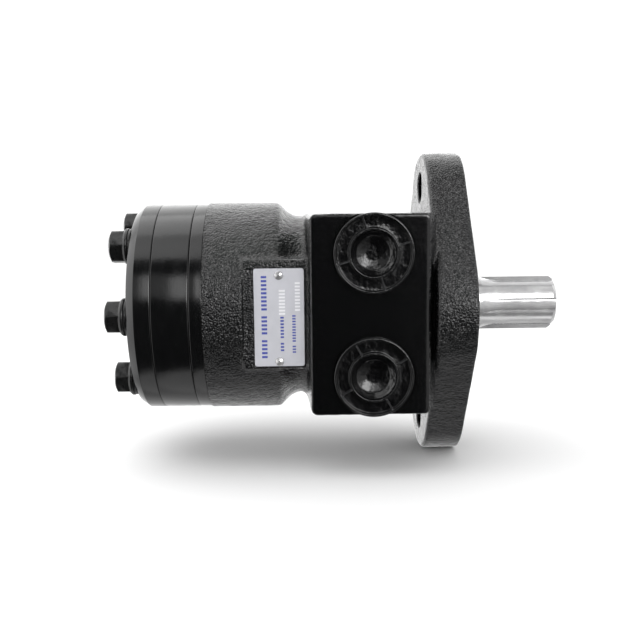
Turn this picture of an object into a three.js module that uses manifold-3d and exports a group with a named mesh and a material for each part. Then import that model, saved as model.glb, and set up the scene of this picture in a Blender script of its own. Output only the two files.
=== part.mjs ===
// Orbit-type hydraulic motor: cast housing with an oval two-bolt flange and two side ports,
// a spool-valve output shaft with a six-tooth spline, and a fixed-lobe gerotor set behind it.
//
// Millimetres, +Z up. The shaft runs along +X and the ports face -Y. Inside the assembly the
// mounting face is the plane x = 0. The finished group is moved so that the centre of the
// shaft's end face is the origin. Angles around the shaft are measured from -Y towards +Z.

import * as THREE from 'three';
import { mergeVertices } from 'three/addons/utils/BufferGeometryUtils.js';
import Module from 'manifold-3d';

const wasm = await Module();
wasm.setup();

// ---------------------------------------------------------------- driving dimensions

const GAP = 0.05; // left between faces that are clamped together
const OVERCUT = 1; // how far a cutting tool runs past the face it opens
const RUNNING_GAP = 0.3; // radial gap around pieces that turn
const ROUND = { large: 40, medium: 20, small: 10, drill: 6, section: 4 }; // facets of a full circle

const SHAFT = {
  projection: 45,
  splineR: 12.66,
  rootR: 10.8,
  toothWidth: 6.35,
  teeth: 6,
  toothAngle: THREE.MathUtils.degToRad(26.8),
  endChamfer: [1.8, 1.3],
  fullDepthStart: 21.7,
  runOutStart: 11,
  sealR: 14.25,
  sealStart: -3.4,
  shoulder: -17.2,
  spoolR: 17.8,
  spoolEnd: -96,
  boreR: 13.3,
  boreStart: -66,
};

const FLANGE = {
  thickness: 16.5,
  halfLength: 68.6,
  endR: 28,
  halfWidth: 55,
  sideR: 33,
  boltSpacing: 106.4,
  holeR: 6.75,
};

const BODY = {
  castR: 47.1,
  turnedR: 46.7,
  rear: -112.5,
  rearEase: 0.5,
  coneStart: -81.5,
  neckStart: -75.4,
  neckR: 40.7,
  wallCover: 10,
};

const BLOCK = {
  rear: -68,
  front: -18.6,
  halfHeight: 41.3,
  face: -50,
  cornerR: 2.2,
  footFront: -16,
  footTop: -44.4,
};
const PAD = { rear: -95.8, front: -66, face: -44, top: 23, bottom: -22.6, back: -30 };

const PORT = {
  x: -42.2,
  z: 25.3,
  spotR: 17.2,
  spotDepth: 0.3,
  threadR: 10.3,
  threadDepth: 17,
  mouthR: 12.4,
  mouthDepth: 2.4,
  drillR: 7,
  drillEnd: -8,
};

const GALLERY = { r: 22.5, halfWidth: 3, a: -30, b: -66, passageR: 3 };
const SPOOL = { grooveR: 15.5, slotR: 15.9, slotWidth: 3.4, windowX: -54.5, slots: 6, overlap: 1.5 };
const CHANNEL = { r: 2.3, circleR: 25, windowR: 2.2 };

const STACK = { plateRear: -118, ringRear: -133.6, coverRear: -144 };
const COVER_BEVEL = [3.5, 2.4];
const EDGE_EASE = 0.35;

const BOLT = {
  count: 7,
  circleR: 36.6,
  firstAngle: THREE.MathUtils.degToRad(50.1),
  shankR: 3.95,
  holeR: 4.3,
  tip: -98,
  holeEnd: -96,
  washerR: 7.8,
  washerThickness: 1.2,
  rimR: 8.05,
  rimThickness: 1.2,
  coneHeight: 0.8,
  coneR: 7.6,
  acrossFlats: 13,
  hexEnd: -153.5,
  hexTwist: THREE.MathUtils.degToRad(9),
};

const GEROTOR = {
  lobes: 7,
  lobeCircleR: 31,
  lobeR: 6.4,
  eccentricity: 2.8,
  clearance: 0.13,
  wallR: 30.7,
  sideGap: 0.15,
  profilePoints: 84,
  crowding: 0.65,
  lobeFacets: 7,
  wallFacets: 4,
};

const SPLINE = {
  teeth: 12,
  hole: { tipR: 13, rootR: 11.4, tipShare: 0.46, rootShare: 0.62 },
  plug: { tipR: 12.35, rootR: 10.7, tipShare: 0.3, rootShare: 0.44 },
};

const CARDAN = {
  frontX: -75,
  rearX: -124.3,
  halfEngagement: 5.5,
  waistR: 8.2,
  endR: 9.2,
  neckLength: 3,
  tailLength: 0.4,
};

const DRIVE_SPACER = { r: 9, thickness: 2.4, rearGap: 0.3 };

const FRONT_COVER = {
  r: 35,
  seat: -6,
  pilotR: 22.2,
  pilotHeight: 2.8,
  spigotR: 22.4,
  spigotEnd: -12.3,
  pocketR: 22.65,
  pocketEnd: -17.5,
  lipR: 13.6,
  dustPocketR: 17.6,
  dustFloor: -0.8,
  sealPocketR: 20.8,
  sealFloor: -3.2,
  ringX: -9,
  ringCircleR: 21.9,
  ringSectionR: 0.6,
  ringFloorR: 21.1,
  ringHalfWidth: 0.75,
};

const COVER_SCREW = {
  count: 4,
  circleR: 28.4,
  headR: 5.2,
  shankR: 2.7,
  holeR: 3,
  tip: -16,
  holeEnd: -18,
  socketR: 2.1,
  socketDepth: 2.2,
  sink: 0.15,
};

const SHAFT_SEAL = { outerR: 20.5, innerR: 14.6, front: -3.5, rear: -10.2, wall: 1.4, lip: 2.4 };
const DUST_SEAL = { outerR: 17.4, innerR: 13.05, rear: -0.6, front: 2.5, web: 1.3, lipR: 14.4 };

const THRUST = {
  innerR: 14.6,
  outerR: 22.2,
  frontRace: [-13.35, -12.4],
  cage: [-15.45, -14.05],
  rearRace: [-17.15, -16.2],
  cageInnerR: 14.8,
  cageOuterR: 22,
  needles: 16,
  needleR: 1.3,
  needleSpan: [15.8, 21.2],
  needleFacets: 6,
};

const FACE_RING = { circleR: 43.5, sectionR: 0.85, grooveHalfWidth: 1.1, grooveDepth: 1.9 };

const CHECK_VALVE = {
  circleR: 30,
  angles: [-129.9, -232.8].map(THREE.MathUtils.degToRad),
  pocketR: 3.3,
  pocketEnd: -105,
  ballR: 2.9,
  ballX: -108.4,
  drillR: 1.4,
};

const PLUG = {
  headR: 16.4,
  headProud: 2.2,
  rimWall: 1.1,
  trough: 1.5,
  hubR: 10.3,
  hubWall: 0.9,
  shankR: 9.9,
  shankDepth: 11,
  wellR: 8.2,
  wellDepth: 4.6,
  ribs: 4,
  ribWidth: 0.9,
  ribSink: 0.25,
  turnA: THREE.MathUtils.degToRad(17),
  turnB: THREE.MathUtils.degToRad(29),
};

const PLATE = { rear: -91.2, front: -70.5, top: 19.3, bottom: -21.3, thickness: 0.5, cornerR: 1 };
const RIVET = {
  x: -80.9,
  zs: [16.4, -19.4],
  headR: 1.9,
  headHeight: 0.9,
  shoulderR: 1.5,
  shoulderHeight: 0.54,
  pinR: 0.9,
  pinLength: 3,
};

const DRAIN = {
  holeR: 6.8,
  shankR: 6.5,
  shankEnd: -135,
  collarR: 9.5,
  collarThickness: 1.4,
  acrossFlats: 13,
  hexHeight: 4.5,
  ringCircleR: 7.9,
  ringSectionR: 0.75,
  ringRecessR: 8.9,
  ringRecessDepth: 1.6,
};

// ---------------------------------------------------------------- materials

const finish = (color, roughness, metalness) => () =>
  new THREE.MeshStandardMaterial({ color, roughness, metalness });

const blackCasting = finish(0x1b1c1d, 0.45, 0.1);
const blackTurned = finish(0x151617, 0.25, 0.1);
const brightSteel = finish(0xc9cacc, 0.28, 1);
const hardSteel = finish(0x8d9094, 0.35, 1);
const darkSteel = finish(0x222324, 0.4, 0.7);
const nitrile = finish(0x101010, 0.75, 0);
const sealRubber = finish(0x5a2f1d, 0.7, 0);
const blackPlastic = finish(0x0c0c0d, 0.3, 0);
const silverPlate = finish(0xd4d6dc, 0.35, 0.9);

// ---------------------------------------------------------------- solids

// Position-only, welded triangles; triangles that collapse at a lathe's axis are dropped.
function weldedTriangles(geometry) {
  const bare = geometry.clone();
  bare.deleteAttribute('normal');
  bare.deleteAttribute('uv');
  const welded = mergeVertices(bare);
  const corners = welded.index.array;
  const triangles = [];
  for (let i = 0; i < corners.length; i += 3) {
    const [a, b, c] = corners.slice(i, i + 3);
    if (a !== b && b !== c && c !== a) triangles.push([a, b, c]);
  }
  return { positions: new Float32Array(welded.attributes.position.array), triangles };
}

function solid(geometry) {
  const { positions, triangles } = weldedTriangles(geometry);
  const build = (corners) => {
    const triVerts = new Uint32Array(corners.flat());
    return new wasm.Manifold(new wasm.Mesh({ numProp: 3, vertProperties: positions, triVerts }));
  };
  const made = build(triangles);
  return made.volume() > 0 ? made : build(triangles.map(([a, b, c]) => [a, c, b]));
}

const joined = (solids) => solids.reduce((whole, next) => whole.add(next));
const cut = (blank, tools) => blank.subtract(joined(tools));

function node(name, shape, material) {
  const { vertProperties, triVerts } = shape.getMesh();
  const geometry = new THREE.BufferGeometry();
  geometry.setAttribute('position', new THREE.BufferAttribute(vertProperties, 3));
  geometry.setIndex(new THREE.BufferAttribute(triVerts, 1));
  geometry.computeVertexNormals();
  const mesh = new THREE.Mesh(geometry, material());
  mesh.name = name;
  return mesh;
}

// A body turned about the shaft axis from [x, radius] points. It closes on itself or on the axis.
function turned(profile, facets = ROUND.large) {
  const points = profile.map(([x, r]) => new THREE.Vector2(r, x));
  const onAxis = profile[0][1] === 0 && profile.at(-1)[1] === 0;
  if (!onAxis) points.push(points[0].clone());
  return solid(new THREE.LatheGeometry(points, facets).rotateZ(-Math.PI / 2));
}

const tube = (x0, x1, innerR, outerR, facets) =>
  turned([[x0, innerR], [x1, innerR], [x1, outerR], [x0, outerR]], facets);

// A ring of round section about the shaft axis.
function roundRing(x, circleR, sectionR, facets) {
  const ring = new THREE.TorusGeometry(circleR, sectionR, ROUND.section, facets);
  return solid(ring.rotateY(Math.PI / 2).translate(x, 0, 0));
}

// A cylinder of radius r between two points.
function rod(from, to, r, facets = ROUND.small) {
  const start = new THREE.Vector3(...from);
  const along = new THREE.Vector3(...to).sub(start);
  const length = along.length();
  const turn = new THREE.Quaternion().setFromUnitVectors(
    new THREE.Vector3(0, 1, 0),
    along.clone().normalize(),
  );
  const geometry = new THREE.CylinderGeometry(r, r, length, facets).applyQuaternion(turn);
  return solid(geometry.translate(...start.addScaledVector(along, 0.5)));
}

function box([x0, x1], [y0, y1], [z0, z1]) {
  const geometry = new THREE.BoxGeometry(x1 - x0, y1 - y0, z1 - z0);
  return solid(geometry.translate((x0 + x1) / 2, (y0 + y1) / 2, (z0 + z1) / 2));
}

// A flat shape drawn in (y, z) and extruded along x.
function slab(shape, x0, x1, curveSegments = ROUND.small) {
  const geometry = new THREE.ExtrudeGeometry(shape, {
    depth: x1 - x0,
    bevelEnabled: false,
    curveSegments,
  });
  const axes = new THREE.Matrix4().makeBasis(
    new THREE.Vector3(0, 1, 0),
    new THREE.Vector3(0, 0, 1),
    new THREE.Vector3(1, 0, 0),
  );
  return solid(geometry.applyMatrix4(axes).translate(x0, 0, 0));
}

// A flat shape drawn in (x, z) and extruded from y0 towards -Y.
function facingPort(shape, y0, depth) {
  const geometry = new THREE.ExtrudeGeometry(shape, {
    depth,
    bevelEnabled: false,
    curveSegments: ROUND.section,
  });
  const axes = new THREE.Matrix4().makeBasis(
    new THREE.Vector3(1, 0, 0),
    new THREE.Vector3(0, 0, 1),
    new THREE.Vector3(0, -1, 0),
  );
  return solid(geometry.applyMatrix4(axes).translate(0, y0, 0));
}

// The [y, z] of a point at a radius and an angle around the shaft.
const polar = (r, angle) => [-r * Math.cos(angle), r * Math.sin(angle)];
const around = (count, first = 0) =>
  Array.from({ length: count }, (_, i) => first - (i * 2 * Math.PI) / count);
const drill = (x0, x1, circleR, angle, r, facets = ROUND.drill) =>
  rod([x0, ...polar(circleR, angle)], [x1, ...polar(circleR, angle)], r, facets);

function polygon(points) {
  return new THREE.Shape(points.map(([u, v]) => new THREE.Vector2(u, v)));
}

function roundedRectangle(u0, u1, v0, v1, r) {
  const shape = new THREE.Shape();
  shape.moveTo(u0 + r, v0);
  shape.lineTo(u1 - r, v0);
  shape.absarc(u1 - r, v0 + r, r, -Math.PI / 2, 0);
  shape.lineTo(u1, v1 - r);
  shape.absarc(u1 - r, v1 - r, r, 0, Math.PI / 2);
  shape.lineTo(u0 + r, v1);
  shape.absarc(u0 + r, v1 - r, r, Math.PI / 2, Math.PI);
  shape.lineTo(u0, v0 + r);
  shape.absarc(u0 + r, v0 + r, r, Math.PI, 1.5 * Math.PI);
  return shape;
}

function hexagon(acrossFlats, twist, y = 0, z = 0) {
  const cornerR = acrossFlats / Math.sqrt(3);
  return polygon(around(6, twist).map((angle) => {
    const [dy, dz] = polar(cornerR, angle);
    return [y + dy, z + dz];
  }));
}

// ---------------------------------------------------------------- housing

// A rhombus whose ends and sides are rounded: two end arcs, two side arcs and their tangents.
function flangeOutline() {
  const endCentre = FLANGE.halfLength - FLANGE.endR;
  const sideCentre = FLANGE.halfWidth - FLANGE.sideR;
  const spread = Math.hypot(endCentre, sideCentre);
  const slope = Math.atan2(endCentre, sideCentre);
  const tangent = slope - Math.acos((FLANGE.endR - FLANGE.sideR) / spread) + Math.PI / 2;
  const lean = Math.PI / 2 - tangent;
  const shape = new THREE.Shape();
  shape.absarc(sideCentre, 0, FLANGE.sideR, -lean, lean);
  shape.absarc(0, endCentre, FLANGE.endR, lean, Math.PI - lean);
  shape.absarc(-sideCentre, 0, FLANGE.sideR, Math.PI - lean, Math.PI + lean);
  shape.absarc(0, -endCentre, FLANGE.endR, Math.PI + lean, 2 * Math.PI - lean);
  return shape;
}

// One step of the port block. The upper step stops short of the flange and leaves a groove.
function portBlock(front, height) {
  const { rear, halfHeight, cornerR } = BLOCK;
  return facingPort(roundedRectangle(rear, front, -halfHeight, halfHeight, cornerR), 0, height);
}

function castBody() {
  const barrel = turned([
    [BODY.rear, 0],
    [BODY.rear, BODY.turnedR],
    [BODY.rear + BODY.rearEase, BODY.castR],
    [BODY.coneStart, BODY.castR],
    [BODY.neckStart, BODY.neckR],
    [-BODY.wallCover, BODY.neckR],
    [-BODY.wallCover, 0],
  ]);
  const pad = box([PAD.rear, PAD.front], [PAD.face, PAD.back], [PAD.bottom, PAD.top]);
  const padRelief = box(
    [PAD.rear, BLOCK.rear], [BLOCK.face - OVERCUT, PAD.face], [PAD.bottom, PAD.top],
  );
  const crown = barrel.subtract(padRelief);
  const block = portBlock(BLOCK.front, -BLOCK.face);
  const foot = portBlock(BLOCK.footFront, -BLOCK.footTop);
  return joined([crown, slab(flangeOutline(), -FLANGE.thickness, 0), block, foot, pad]);
}

function portTools(z, galleryX) {
  const at = (y) => [PORT.x, y, z];
  const mouth = new THREE.CylinderGeometry(
    PORT.threadR, PORT.mouthR, PORT.mouthDepth, ROUND.medium,
  ).translate(PORT.x, BLOCK.face + PORT.mouthDepth / 2, z);
  const passageEnd = [galleryX, -OVERCUT, Math.sign(z) * (GALLERY.r - GALLERY.passageR)];
  return [
    rod(at(BLOCK.face - OVERCUT), at(BLOCK.face + PORT.spotDepth), PORT.spotR, ROUND.medium),
    rod(at(BLOCK.face - OVERCUT), at(BLOCK.face + PORT.threadDepth), PORT.threadR, ROUND.medium),
    rod(at(BLOCK.face), at(PORT.drillEnd), PORT.drillR),
    rod(at(PORT.drillEnd), passageEnd, GALLERY.passageR),
    solid(mouth),
  ];
}

function valveTools() {
  const galleries = [GALLERY.a, GALLERY.b].map((x) =>
    tube(x - GALLERY.halfWidth, x + GALLERY.halfWidth, SHAFT.rootR, GALLERY.r, ROUND.medium));
  const channels = around(BOLT.count, BOLT.firstAngle).flatMap((angle) => {
    const outer = [SPOOL.windowX, ...polar(CHANNEL.circleR, angle)];
    const inner = [SPOOL.windowX, ...polar(SHAFT.boreR, angle)];
    return [
      drill(BODY.rear - OVERCUT, SPOOL.windowX - OVERCUT, CHANNEL.circleR, angle, CHANNEL.r),
      rod(outer, inner, CHANNEL.windowR, ROUND.drill),
    ];
  });
  const checks = CHECK_VALVE.angles.flatMap((angle, i) => {
    const start = [CHECK_VALVE.pocketEnd - OVERCUT, ...polar(CHECK_VALVE.circleR, angle)];
    const galleryX = i === 0 ? GALLERY.a : GALLERY.b;
    const end = [galleryX, ...polar(GALLERY.r - OVERCUT, angle)];
    const { circleR, pocketEnd, pocketR, drillR } = CHECK_VALVE;
    return [
      drill(BODY.rear - OVERCUT, pocketEnd, circleR, angle, pocketR, ROUND.small),
      rod(start, end, drillR, ROUND.drill),
    ];
  });
  return [...galleries, ...channels, ...checks];
}

// A groove for a face ring, open at the plane x and reaching depth along the given direction.
function faceGroove(x, direction) {
  const { circleR, grooveHalfWidth, grooveDepth } = FACE_RING;
  const ends = [x - direction * OVERCUT, x + direction * grooveDepth].sort((a, b) => a - b);
  return tube(...ends, circleR - grooveHalfWidth, circleR + grooveHalfWidth);
}

const boltHoles = (x0, x1) => around(BOLT.count, BOLT.firstAngle).map((angle) =>
  drill(x0, x1, BOLT.circleR, angle, BOLT.holeR, ROUND.small));

const screwAngles = around(COVER_SCREW.count, Math.PI / 4);

function housing() {
  const flangeHoles = [-1, 1].map((side) => {
    const z = (side * FLANGE.boltSpacing) / 2;
    return rod([-FLANGE.thickness - OVERCUT, 0, z], [OVERCUT, 0, z], FLANGE.holeR, ROUND.medium);
  });
  const screwHoles = screwAngles.map((angle) => {
    const { holeEnd, circleR, holeR } = COVER_SCREW;
    return drill(holeEnd, FRONT_COVER.seat + OVERCUT, circleR, angle, holeR, ROUND.small);
  });
  const bores = turned([
    [BODY.rear - OVERCUT, 0],
    [BODY.rear - OVERCUT, SHAFT.spoolR + RUNNING_GAP],
    [FRONT_COVER.pocketEnd, SHAFT.spoolR + RUNNING_GAP],
    [FRONT_COVER.pocketEnd, FRONT_COVER.pocketR],
    [FRONT_COVER.seat, FRONT_COVER.pocketR],
    [FRONT_COVER.seat, FRONT_COVER.r + RUNNING_GAP],
    [OVERCUT, FRONT_COVER.r + RUNNING_GAP],
    [OVERCUT, 0],
  ], ROUND.medium);
  return cut(castBody(), [
    bores,
    faceGroove(BODY.rear, 1),
    ...flangeHoles,
    ...screwHoles,
    ...boltHoles(BODY.rear - OVERCUT, BOLT.holeEnd),
    ...portTools(PORT.z, GALLERY.a),
    ...portTools(-PORT.z, GALLERY.b),
    ...valveTools(),
  ]);
}

// ---------------------------------------------------------------- shaft end of the motor

function frontCover() {
  const c = FRONT_COVER;
  const blank = turned([
    [c.pilotHeight, c.dustPocketR],
    [c.dustFloor, c.dustPocketR],
    [c.dustFloor, c.lipR],
    [c.sealFloor, c.lipR],
    [c.sealFloor, c.sealPocketR],
    [c.spigotEnd, c.sealPocketR],
    [c.spigotEnd, c.spigotR],
    [c.ringX - c.ringHalfWidth, c.spigotR],
    [c.ringX - c.ringHalfWidth, c.ringFloorR],
    [c.ringX + c.ringHalfWidth, c.ringFloorR],
    [c.ringX + c.ringHalfWidth, c.spigotR],
    [c.seat + GAP, c.spigotR],
    [c.seat + GAP, c.r],
    [0, c.r],
    [0, c.pilotR],
    [c.pilotHeight, c.pilotR],
  ], ROUND.medium);
  const sinks = screwAngles.flatMap((angle) => {
    const [y, z] = polar(COVER_SCREW.circleR, angle);
    const reach = COVER_SCREW.headR + OVERCUT + RUNNING_GAP;
    const cone = new THREE.CylinderGeometry(reach, 0, reach, ROUND.small).rotateZ(-Math.PI / 2);
    return [
      solid(cone.translate(OVERCUT - reach / 2, y, z)),
      drill(c.seat - OVERCUT, OVERCUT, COVER_SCREW.circleR, angle, COVER_SCREW.holeR, ROUND.small),
    ];
  });
  return cut(blank, sinks);
}

// Countersunk screw with a hexagon socket.
function coverScrew(angle) {
  const s = COVER_SCREW;
  const top = -s.sink;
  const screw = turned([
    [s.tip, 0],
    [s.tip, s.shankR],
    [top - (s.headR - s.shankR), s.shankR],
    [top, s.headR - s.sink],
    [top, 0],
  ], ROUND.small);
  const socket = slab(hexagon(2 * s.socketR, 0), top - s.socketDepth, top + OVERCUT);
  return screw.subtract(socket).translate([0, ...polar(s.circleR, angle)]);
}

function shaftSeal() {
  const s = SHAFT_SEAL;
  return turned([
    [s.rear, s.outerR],
    [s.front, s.outerR],
    [s.front, s.innerR + s.lip],
    [s.front - s.lip, s.innerR],
    [s.front - 2 * s.lip, s.innerR + s.wall],
    [s.front - s.lip, s.innerR + s.lip],
    [s.front - s.wall, s.innerR + 2 * s.wall],
    [s.front - s.wall, s.outerR - s.wall],
    [s.rear, s.outerR - s.wall],
  ], ROUND.medium);
}

function dustSeal() {
  const d = DUST_SEAL;
  return turned([
    [d.rear, d.outerR],
    [d.rear, d.lipR],
    [d.rear + d.web, d.innerR + d.web],
    [d.front, d.innerR],
    [d.front - d.web, d.lipR],
    [d.front - d.web, d.outerR],
  ], ROUND.medium);
}

function needleCage() {
  const { cage, cageInnerR, cageOuterR, needleR, needleSpan, needles, needleFacets } = THRUST;
  const middle = (cage[0] + cage[1]) / 2;
  const rollers = around(needles).map((angle) => {
    const [inner, outer] = needleSpan.map((r) => [middle, ...polar(r, angle)]);
    return rod(inner, outer, needleR, needleFacets);
  });
  return joined([tube(...cage, cageInnerR, cageOuterR, ROUND.medium), ...rollers]);
}

// ---------------------------------------------------------------- output shaft

// The space between two neighbouring spline teeth, with parallel tooth flanks, along x0 to x1.
function splineSpace(angle, x0, x1) {
  const outerR = SHAFT.splineR + OVERCUT;
  const halfTooth = SHAFT.toothWidth / 2;
  const halfPitch = Math.PI / SHAFT.teeth;
  const flankAngle = (r) => halfPitch - Math.asin(halfTooth / r);
  const corners = [
    [SHAFT.rootR, -flankAngle(SHAFT.rootR)],
    [outerR, -flankAngle(outerR)],
    [outerR, flankAngle(outerR)],
    [SHAFT.rootR, flankAngle(SHAFT.rootR)],
    [SHAFT.rootR, 0],
  ];
  return slab(polygon(corners.map(([r, turn]) => polar(r, angle + turn))), x0, x1);
}

// The same space where the cutter lifts out: its floor rises to the outside of the shaft.
function splineRunOut(angle) {
  const { runOutStart, fullDepthStart, splineR, rootR } = SHAFT;
  const whole = splineSpace(angle, runOutStart, fullDepthStart + GAP);
  const run = fullDepthStart - runOutStart;
  const rise = splineR - rootR;
  const slope = Math.atan2(rise, run);
  const [y, z] = polar(1, angle);
  const radial = new THREE.Vector3(0, y, z);
  const plane = new THREE.Vector3(Math.sin(slope), 0, 0).addScaledVector(radial, Math.cos(slope));
  const offset = plane.dot(new THREE.Vector3(fullDepthStart, rootR * y, rootR * z));
  return whole.trimByPlane(plane.toArray(), offset);
}

// A ring of trapezoid teeth; as a hole it is the matching internal spline.
function toothedOutline({ tipR, rootR, tipShare, rootShare }, phase = 0) {
  const halfPitch = Math.PI / SPLINE.teeth;
  const points = around(SPLINE.teeth, phase).flatMap((angle) => [
    polar(rootR, angle + halfPitch * rootShare),
    polar(tipR, angle + halfPitch * tipShare),
    polar(tipR, angle - halfPitch * tipShare),
    polar(rootR, angle - halfPitch * rootShare),
  ]);
  return polygon(points);
}

function spoolSlots() {
  const { windowX, slots, overlap, slotR, slotWidth } = SPOOL;
  const length = CHANNEL.windowR + overlap;
  const spans = [
    { first: 0, x: [windowX - length, GALLERY.a] },
    { first: Math.PI / slots, x: [GALLERY.b, windowX + length] },
  ];
  return spans.flatMap(({ first, x }) => around(slots, first).map((angle) => {
    const half = slotWidth / 2;
    const slot = box(x, [-SHAFT.spoolR - OVERCUT, -slotR], [-half, half]);
    return slot.rotate([-THREE.MathUtils.radToDeg(angle), 0, 0]);
  }));
}

function outputShaft() {
  const s = SHAFT;
  const [chamferLength, chamferDepth] = s.endChamfer;
  const blank = turned([
    [s.spoolEnd, 0],
    [s.spoolEnd, s.spoolR],
    [s.shoulder, s.spoolR],
    [s.shoulder, s.sealR],
    [s.sealStart, s.sealR],
    [s.sealStart, s.splineR],
    [s.projection - chamferLength, s.splineR],
    [s.projection, s.splineR - chamferDepth],
    [s.projection, 0],
  ]);
  const spaceAngles = around(s.teeth, s.toothAngle + Math.PI / s.teeth);
  const grooves = [GALLERY.a, GALLERY.b].map((x) =>
    tube(x - GALLERY.halfWidth, x + GALLERY.halfWidth, SPOOL.grooveR, s.spoolR + OVERCUT, ROUND.medium));
  const cardanFront = CARDAN.frontX + CARDAN.halfEngagement + OVERCUT;
  const cardanRear = CARDAN.frontX - CARDAN.halfEngagement - OVERCUT;
  const bore = (x0, x1) => rod([x0, 0, 0], [x1, 0, 0], s.boreR, ROUND.medium);
  return cut(blank, [
    ...spaceAngles.map((angle) => splineSpace(angle, s.fullDepthStart, s.projection + OVERCUT)),
    ...spaceAngles.map(splineRunOut),
    ...grooves,
    ...spoolSlots(),
    bore(s.spoolEnd - OVERCUT, cardanRear),
    bore(cardanFront, s.boreStart),
    slab(toothedOutline(SPLINE.hole), cardanRear - OVERCUT, cardanFront + OVERCUT),
  ]);
}

// ---------------------------------------------------------------- gerotor set

const lobeAngle = BOLT.firstAngle - Math.PI / GEROTOR.lobes;
const rotorCentre = polar(GEROTOR.eccentricity, lobeAngle);
const gerotorSpan = [STACK.ringRear, STACK.plateRear - GAP];

// The inner wall of the ring: arcs of the wall circle between seven convex lobes.
function ringHole() {
  const { lobes, lobeCircleR, lobeR, wallR, lobeFacets, wallFacets } = GEROTOR;
  const cosMeet = (wallR ** 2 + lobeCircleR ** 2 - lobeR ** 2) / (2 * wallR * lobeCircleR);
  const meet = Math.acos(cosMeet);
  const lobeStart = Math.atan2(wallR * Math.sin(meet), wallR * cosMeet - lobeCircleR);
  const lobeSweep = 2 * Math.PI - 2 * lobeStart;
  const wallSweep = (2 * Math.PI) / lobes - 2 * meet;
  const points = around(lobes, lobeAngle).flatMap((angle) => {
    const [cy, cz] = polar(lobeCircleR, angle);
    const lobe = Array.from({ length: lobeFacets + 1 }, (_, i) => {
      const [dy, dz] = polar(lobeR, angle + lobeStart + (lobeSweep * i) / lobeFacets);
      return [cy + dy, cz + dz];
    });
    const wall = Array.from({ length: wallFacets - 1 }, (_, i) =>
      polar(wallR, angle - meet - (wallSweep * (i + 1)) / wallFacets));
    return [...lobe, ...wall];
  });
  return polygon(points);
}

function eased(x0, x1, r) {
  return turned([
    [x0, 0],
    [x0, r - EDGE_EASE],
    [x0 + EDGE_EASE, r],
    [x1 - EDGE_EASE, r],
    [x1, r - EDGE_EASE],
    [x1, 0],
  ]);
}

function statorRing() {
  const [x0, x1] = gerotorSpan;
  return cut(eased(x0, x1, BODY.turnedR), [
    slab(ringHole(), x0 - OVERCUT, x1 + OVERCUT),
    ...boltHoles(x0 - OVERCUT, x1 + OVERCUT),
    faceGroove(x0, 1),
    faceGroove(x1, -1),
  ]);
}

// The six-lobed rotor is the path of a ring lobe's centre seen from the rotor, set in by the
// lobe's radius, so it touches every ring lobe at once wherever it has rolled to. The points
// crowd together in the valleys, where the outline bends most.
function rotorOutline() {
  const { lobes, lobeCircleR, lobeR, eccentricity, clearance, profilePoints, crowding } = GEROTOR;
  const valleys = lobes - 1;
  const points = Array.from({ length: profilePoints }, (_, i) => {
    const even = (i * 2 * Math.PI) / profilePoints;
    const turn = even - (crowding / valleys) * Math.sin(valleys * even);
    const [y1, z1] = polar(1, lobeAngle + turn);
    const [y2, z2] = polar(1, lobeAngle + lobes * turn);
    const normal = [
      lobeCircleR * y1 - lobes * eccentricity * y2,
      lobeCircleR * z1 - lobes * eccentricity * z2,
    ];
    const inset = (lobeR + clearance) / Math.hypot(...normal);
    return [
      lobeCircleR * y1 - eccentricity * y2 - inset * normal[0],
      lobeCircleR * z1 - eccentricity * z2 - inset * normal[1],
    ];
  });
  return polygon(points);
}

function rotor() {
  const [x0, x1] = gerotorSpan;
  const blank = slab(rotorOutline(), x0 + GEROTOR.sideGap, x1 - GEROTOR.sideGap);
  const hole = slab(toothedOutline(SPLINE.hole), x0 - OVERCUT, x1 + OVERCUT);
  return blank.subtract(hole).translate([0, ...rotorCentre]);
}

// The splined link that carries the rotor's spin to the output shaft, tilted by the offset.
function cardanShaft() {
  const { frontX, rearX, halfEngagement, waistR, endR, neckLength, tailLength } = CARDAN;
  const length = frontX - rearX;
  const end = (x) => slab(toothedOutline(SPLINE.plug), x - halfEngagement, x + halfEngagement);
  const core = turned([
    [-halfEngagement - tailLength, 0],
    [-halfEngagement - tailLength, waistR],
    [halfEngagement, endR],
    [halfEngagement + neckLength, waistR],
    [length - halfEngagement - neckLength, waistR],
    [length - halfEngagement, endR],
    [length + halfEngagement, waistR],
    [length + halfEngagement, 0],
  ], ROUND.medium);
  const straight = joined([core, end(0), end(length)]);
  const [y, z] = rotorCentre;
  const along = new THREE.Vector3(length, -y, -z).normalize();
  const turn = new THREE.Quaternion().setFromUnitVectors(new THREE.Vector3(1, 0, 0), along);
  const place = new THREE.Matrix4().compose(
    new THREE.Vector3(rearX, y, z), turn, new THREE.Vector3(1, 1, 1),
  );
  return straight.transform(place.elements);
}

function driveSpacer() {
  const rear = STACK.ringRear + DRIVE_SPACER.rearGap;
  const [y, z] = rotorCentre;
  return rod([rear, y, z], [rear + DRIVE_SPACER.thickness, y, z], DRIVE_SPACER.r, ROUND.medium);
}

// ---------------------------------------------------------------- spacer plate and end cover

function spacerPlate() {
  const x0 = STACK.plateRear;
  const x1 = BODY.rear - GAP;
  const channels = around(BOLT.count, BOLT.firstAngle).map((angle) =>
    drill(x0 - OVERCUT, x1 + OVERCUT, CHANNEL.circleR, angle, CHANNEL.r));
  return cut(eased(x0, x1, BODY.turnedR), [
    rod([x0 - OVERCUT, 0, 0], [x1 + OVERCUT, 0, 0], SHAFT.boreR, ROUND.medium),
    ...channels,
    ...boltHoles(x0 - OVERCUT, x1 + OVERCUT),
  ]);
}

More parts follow.
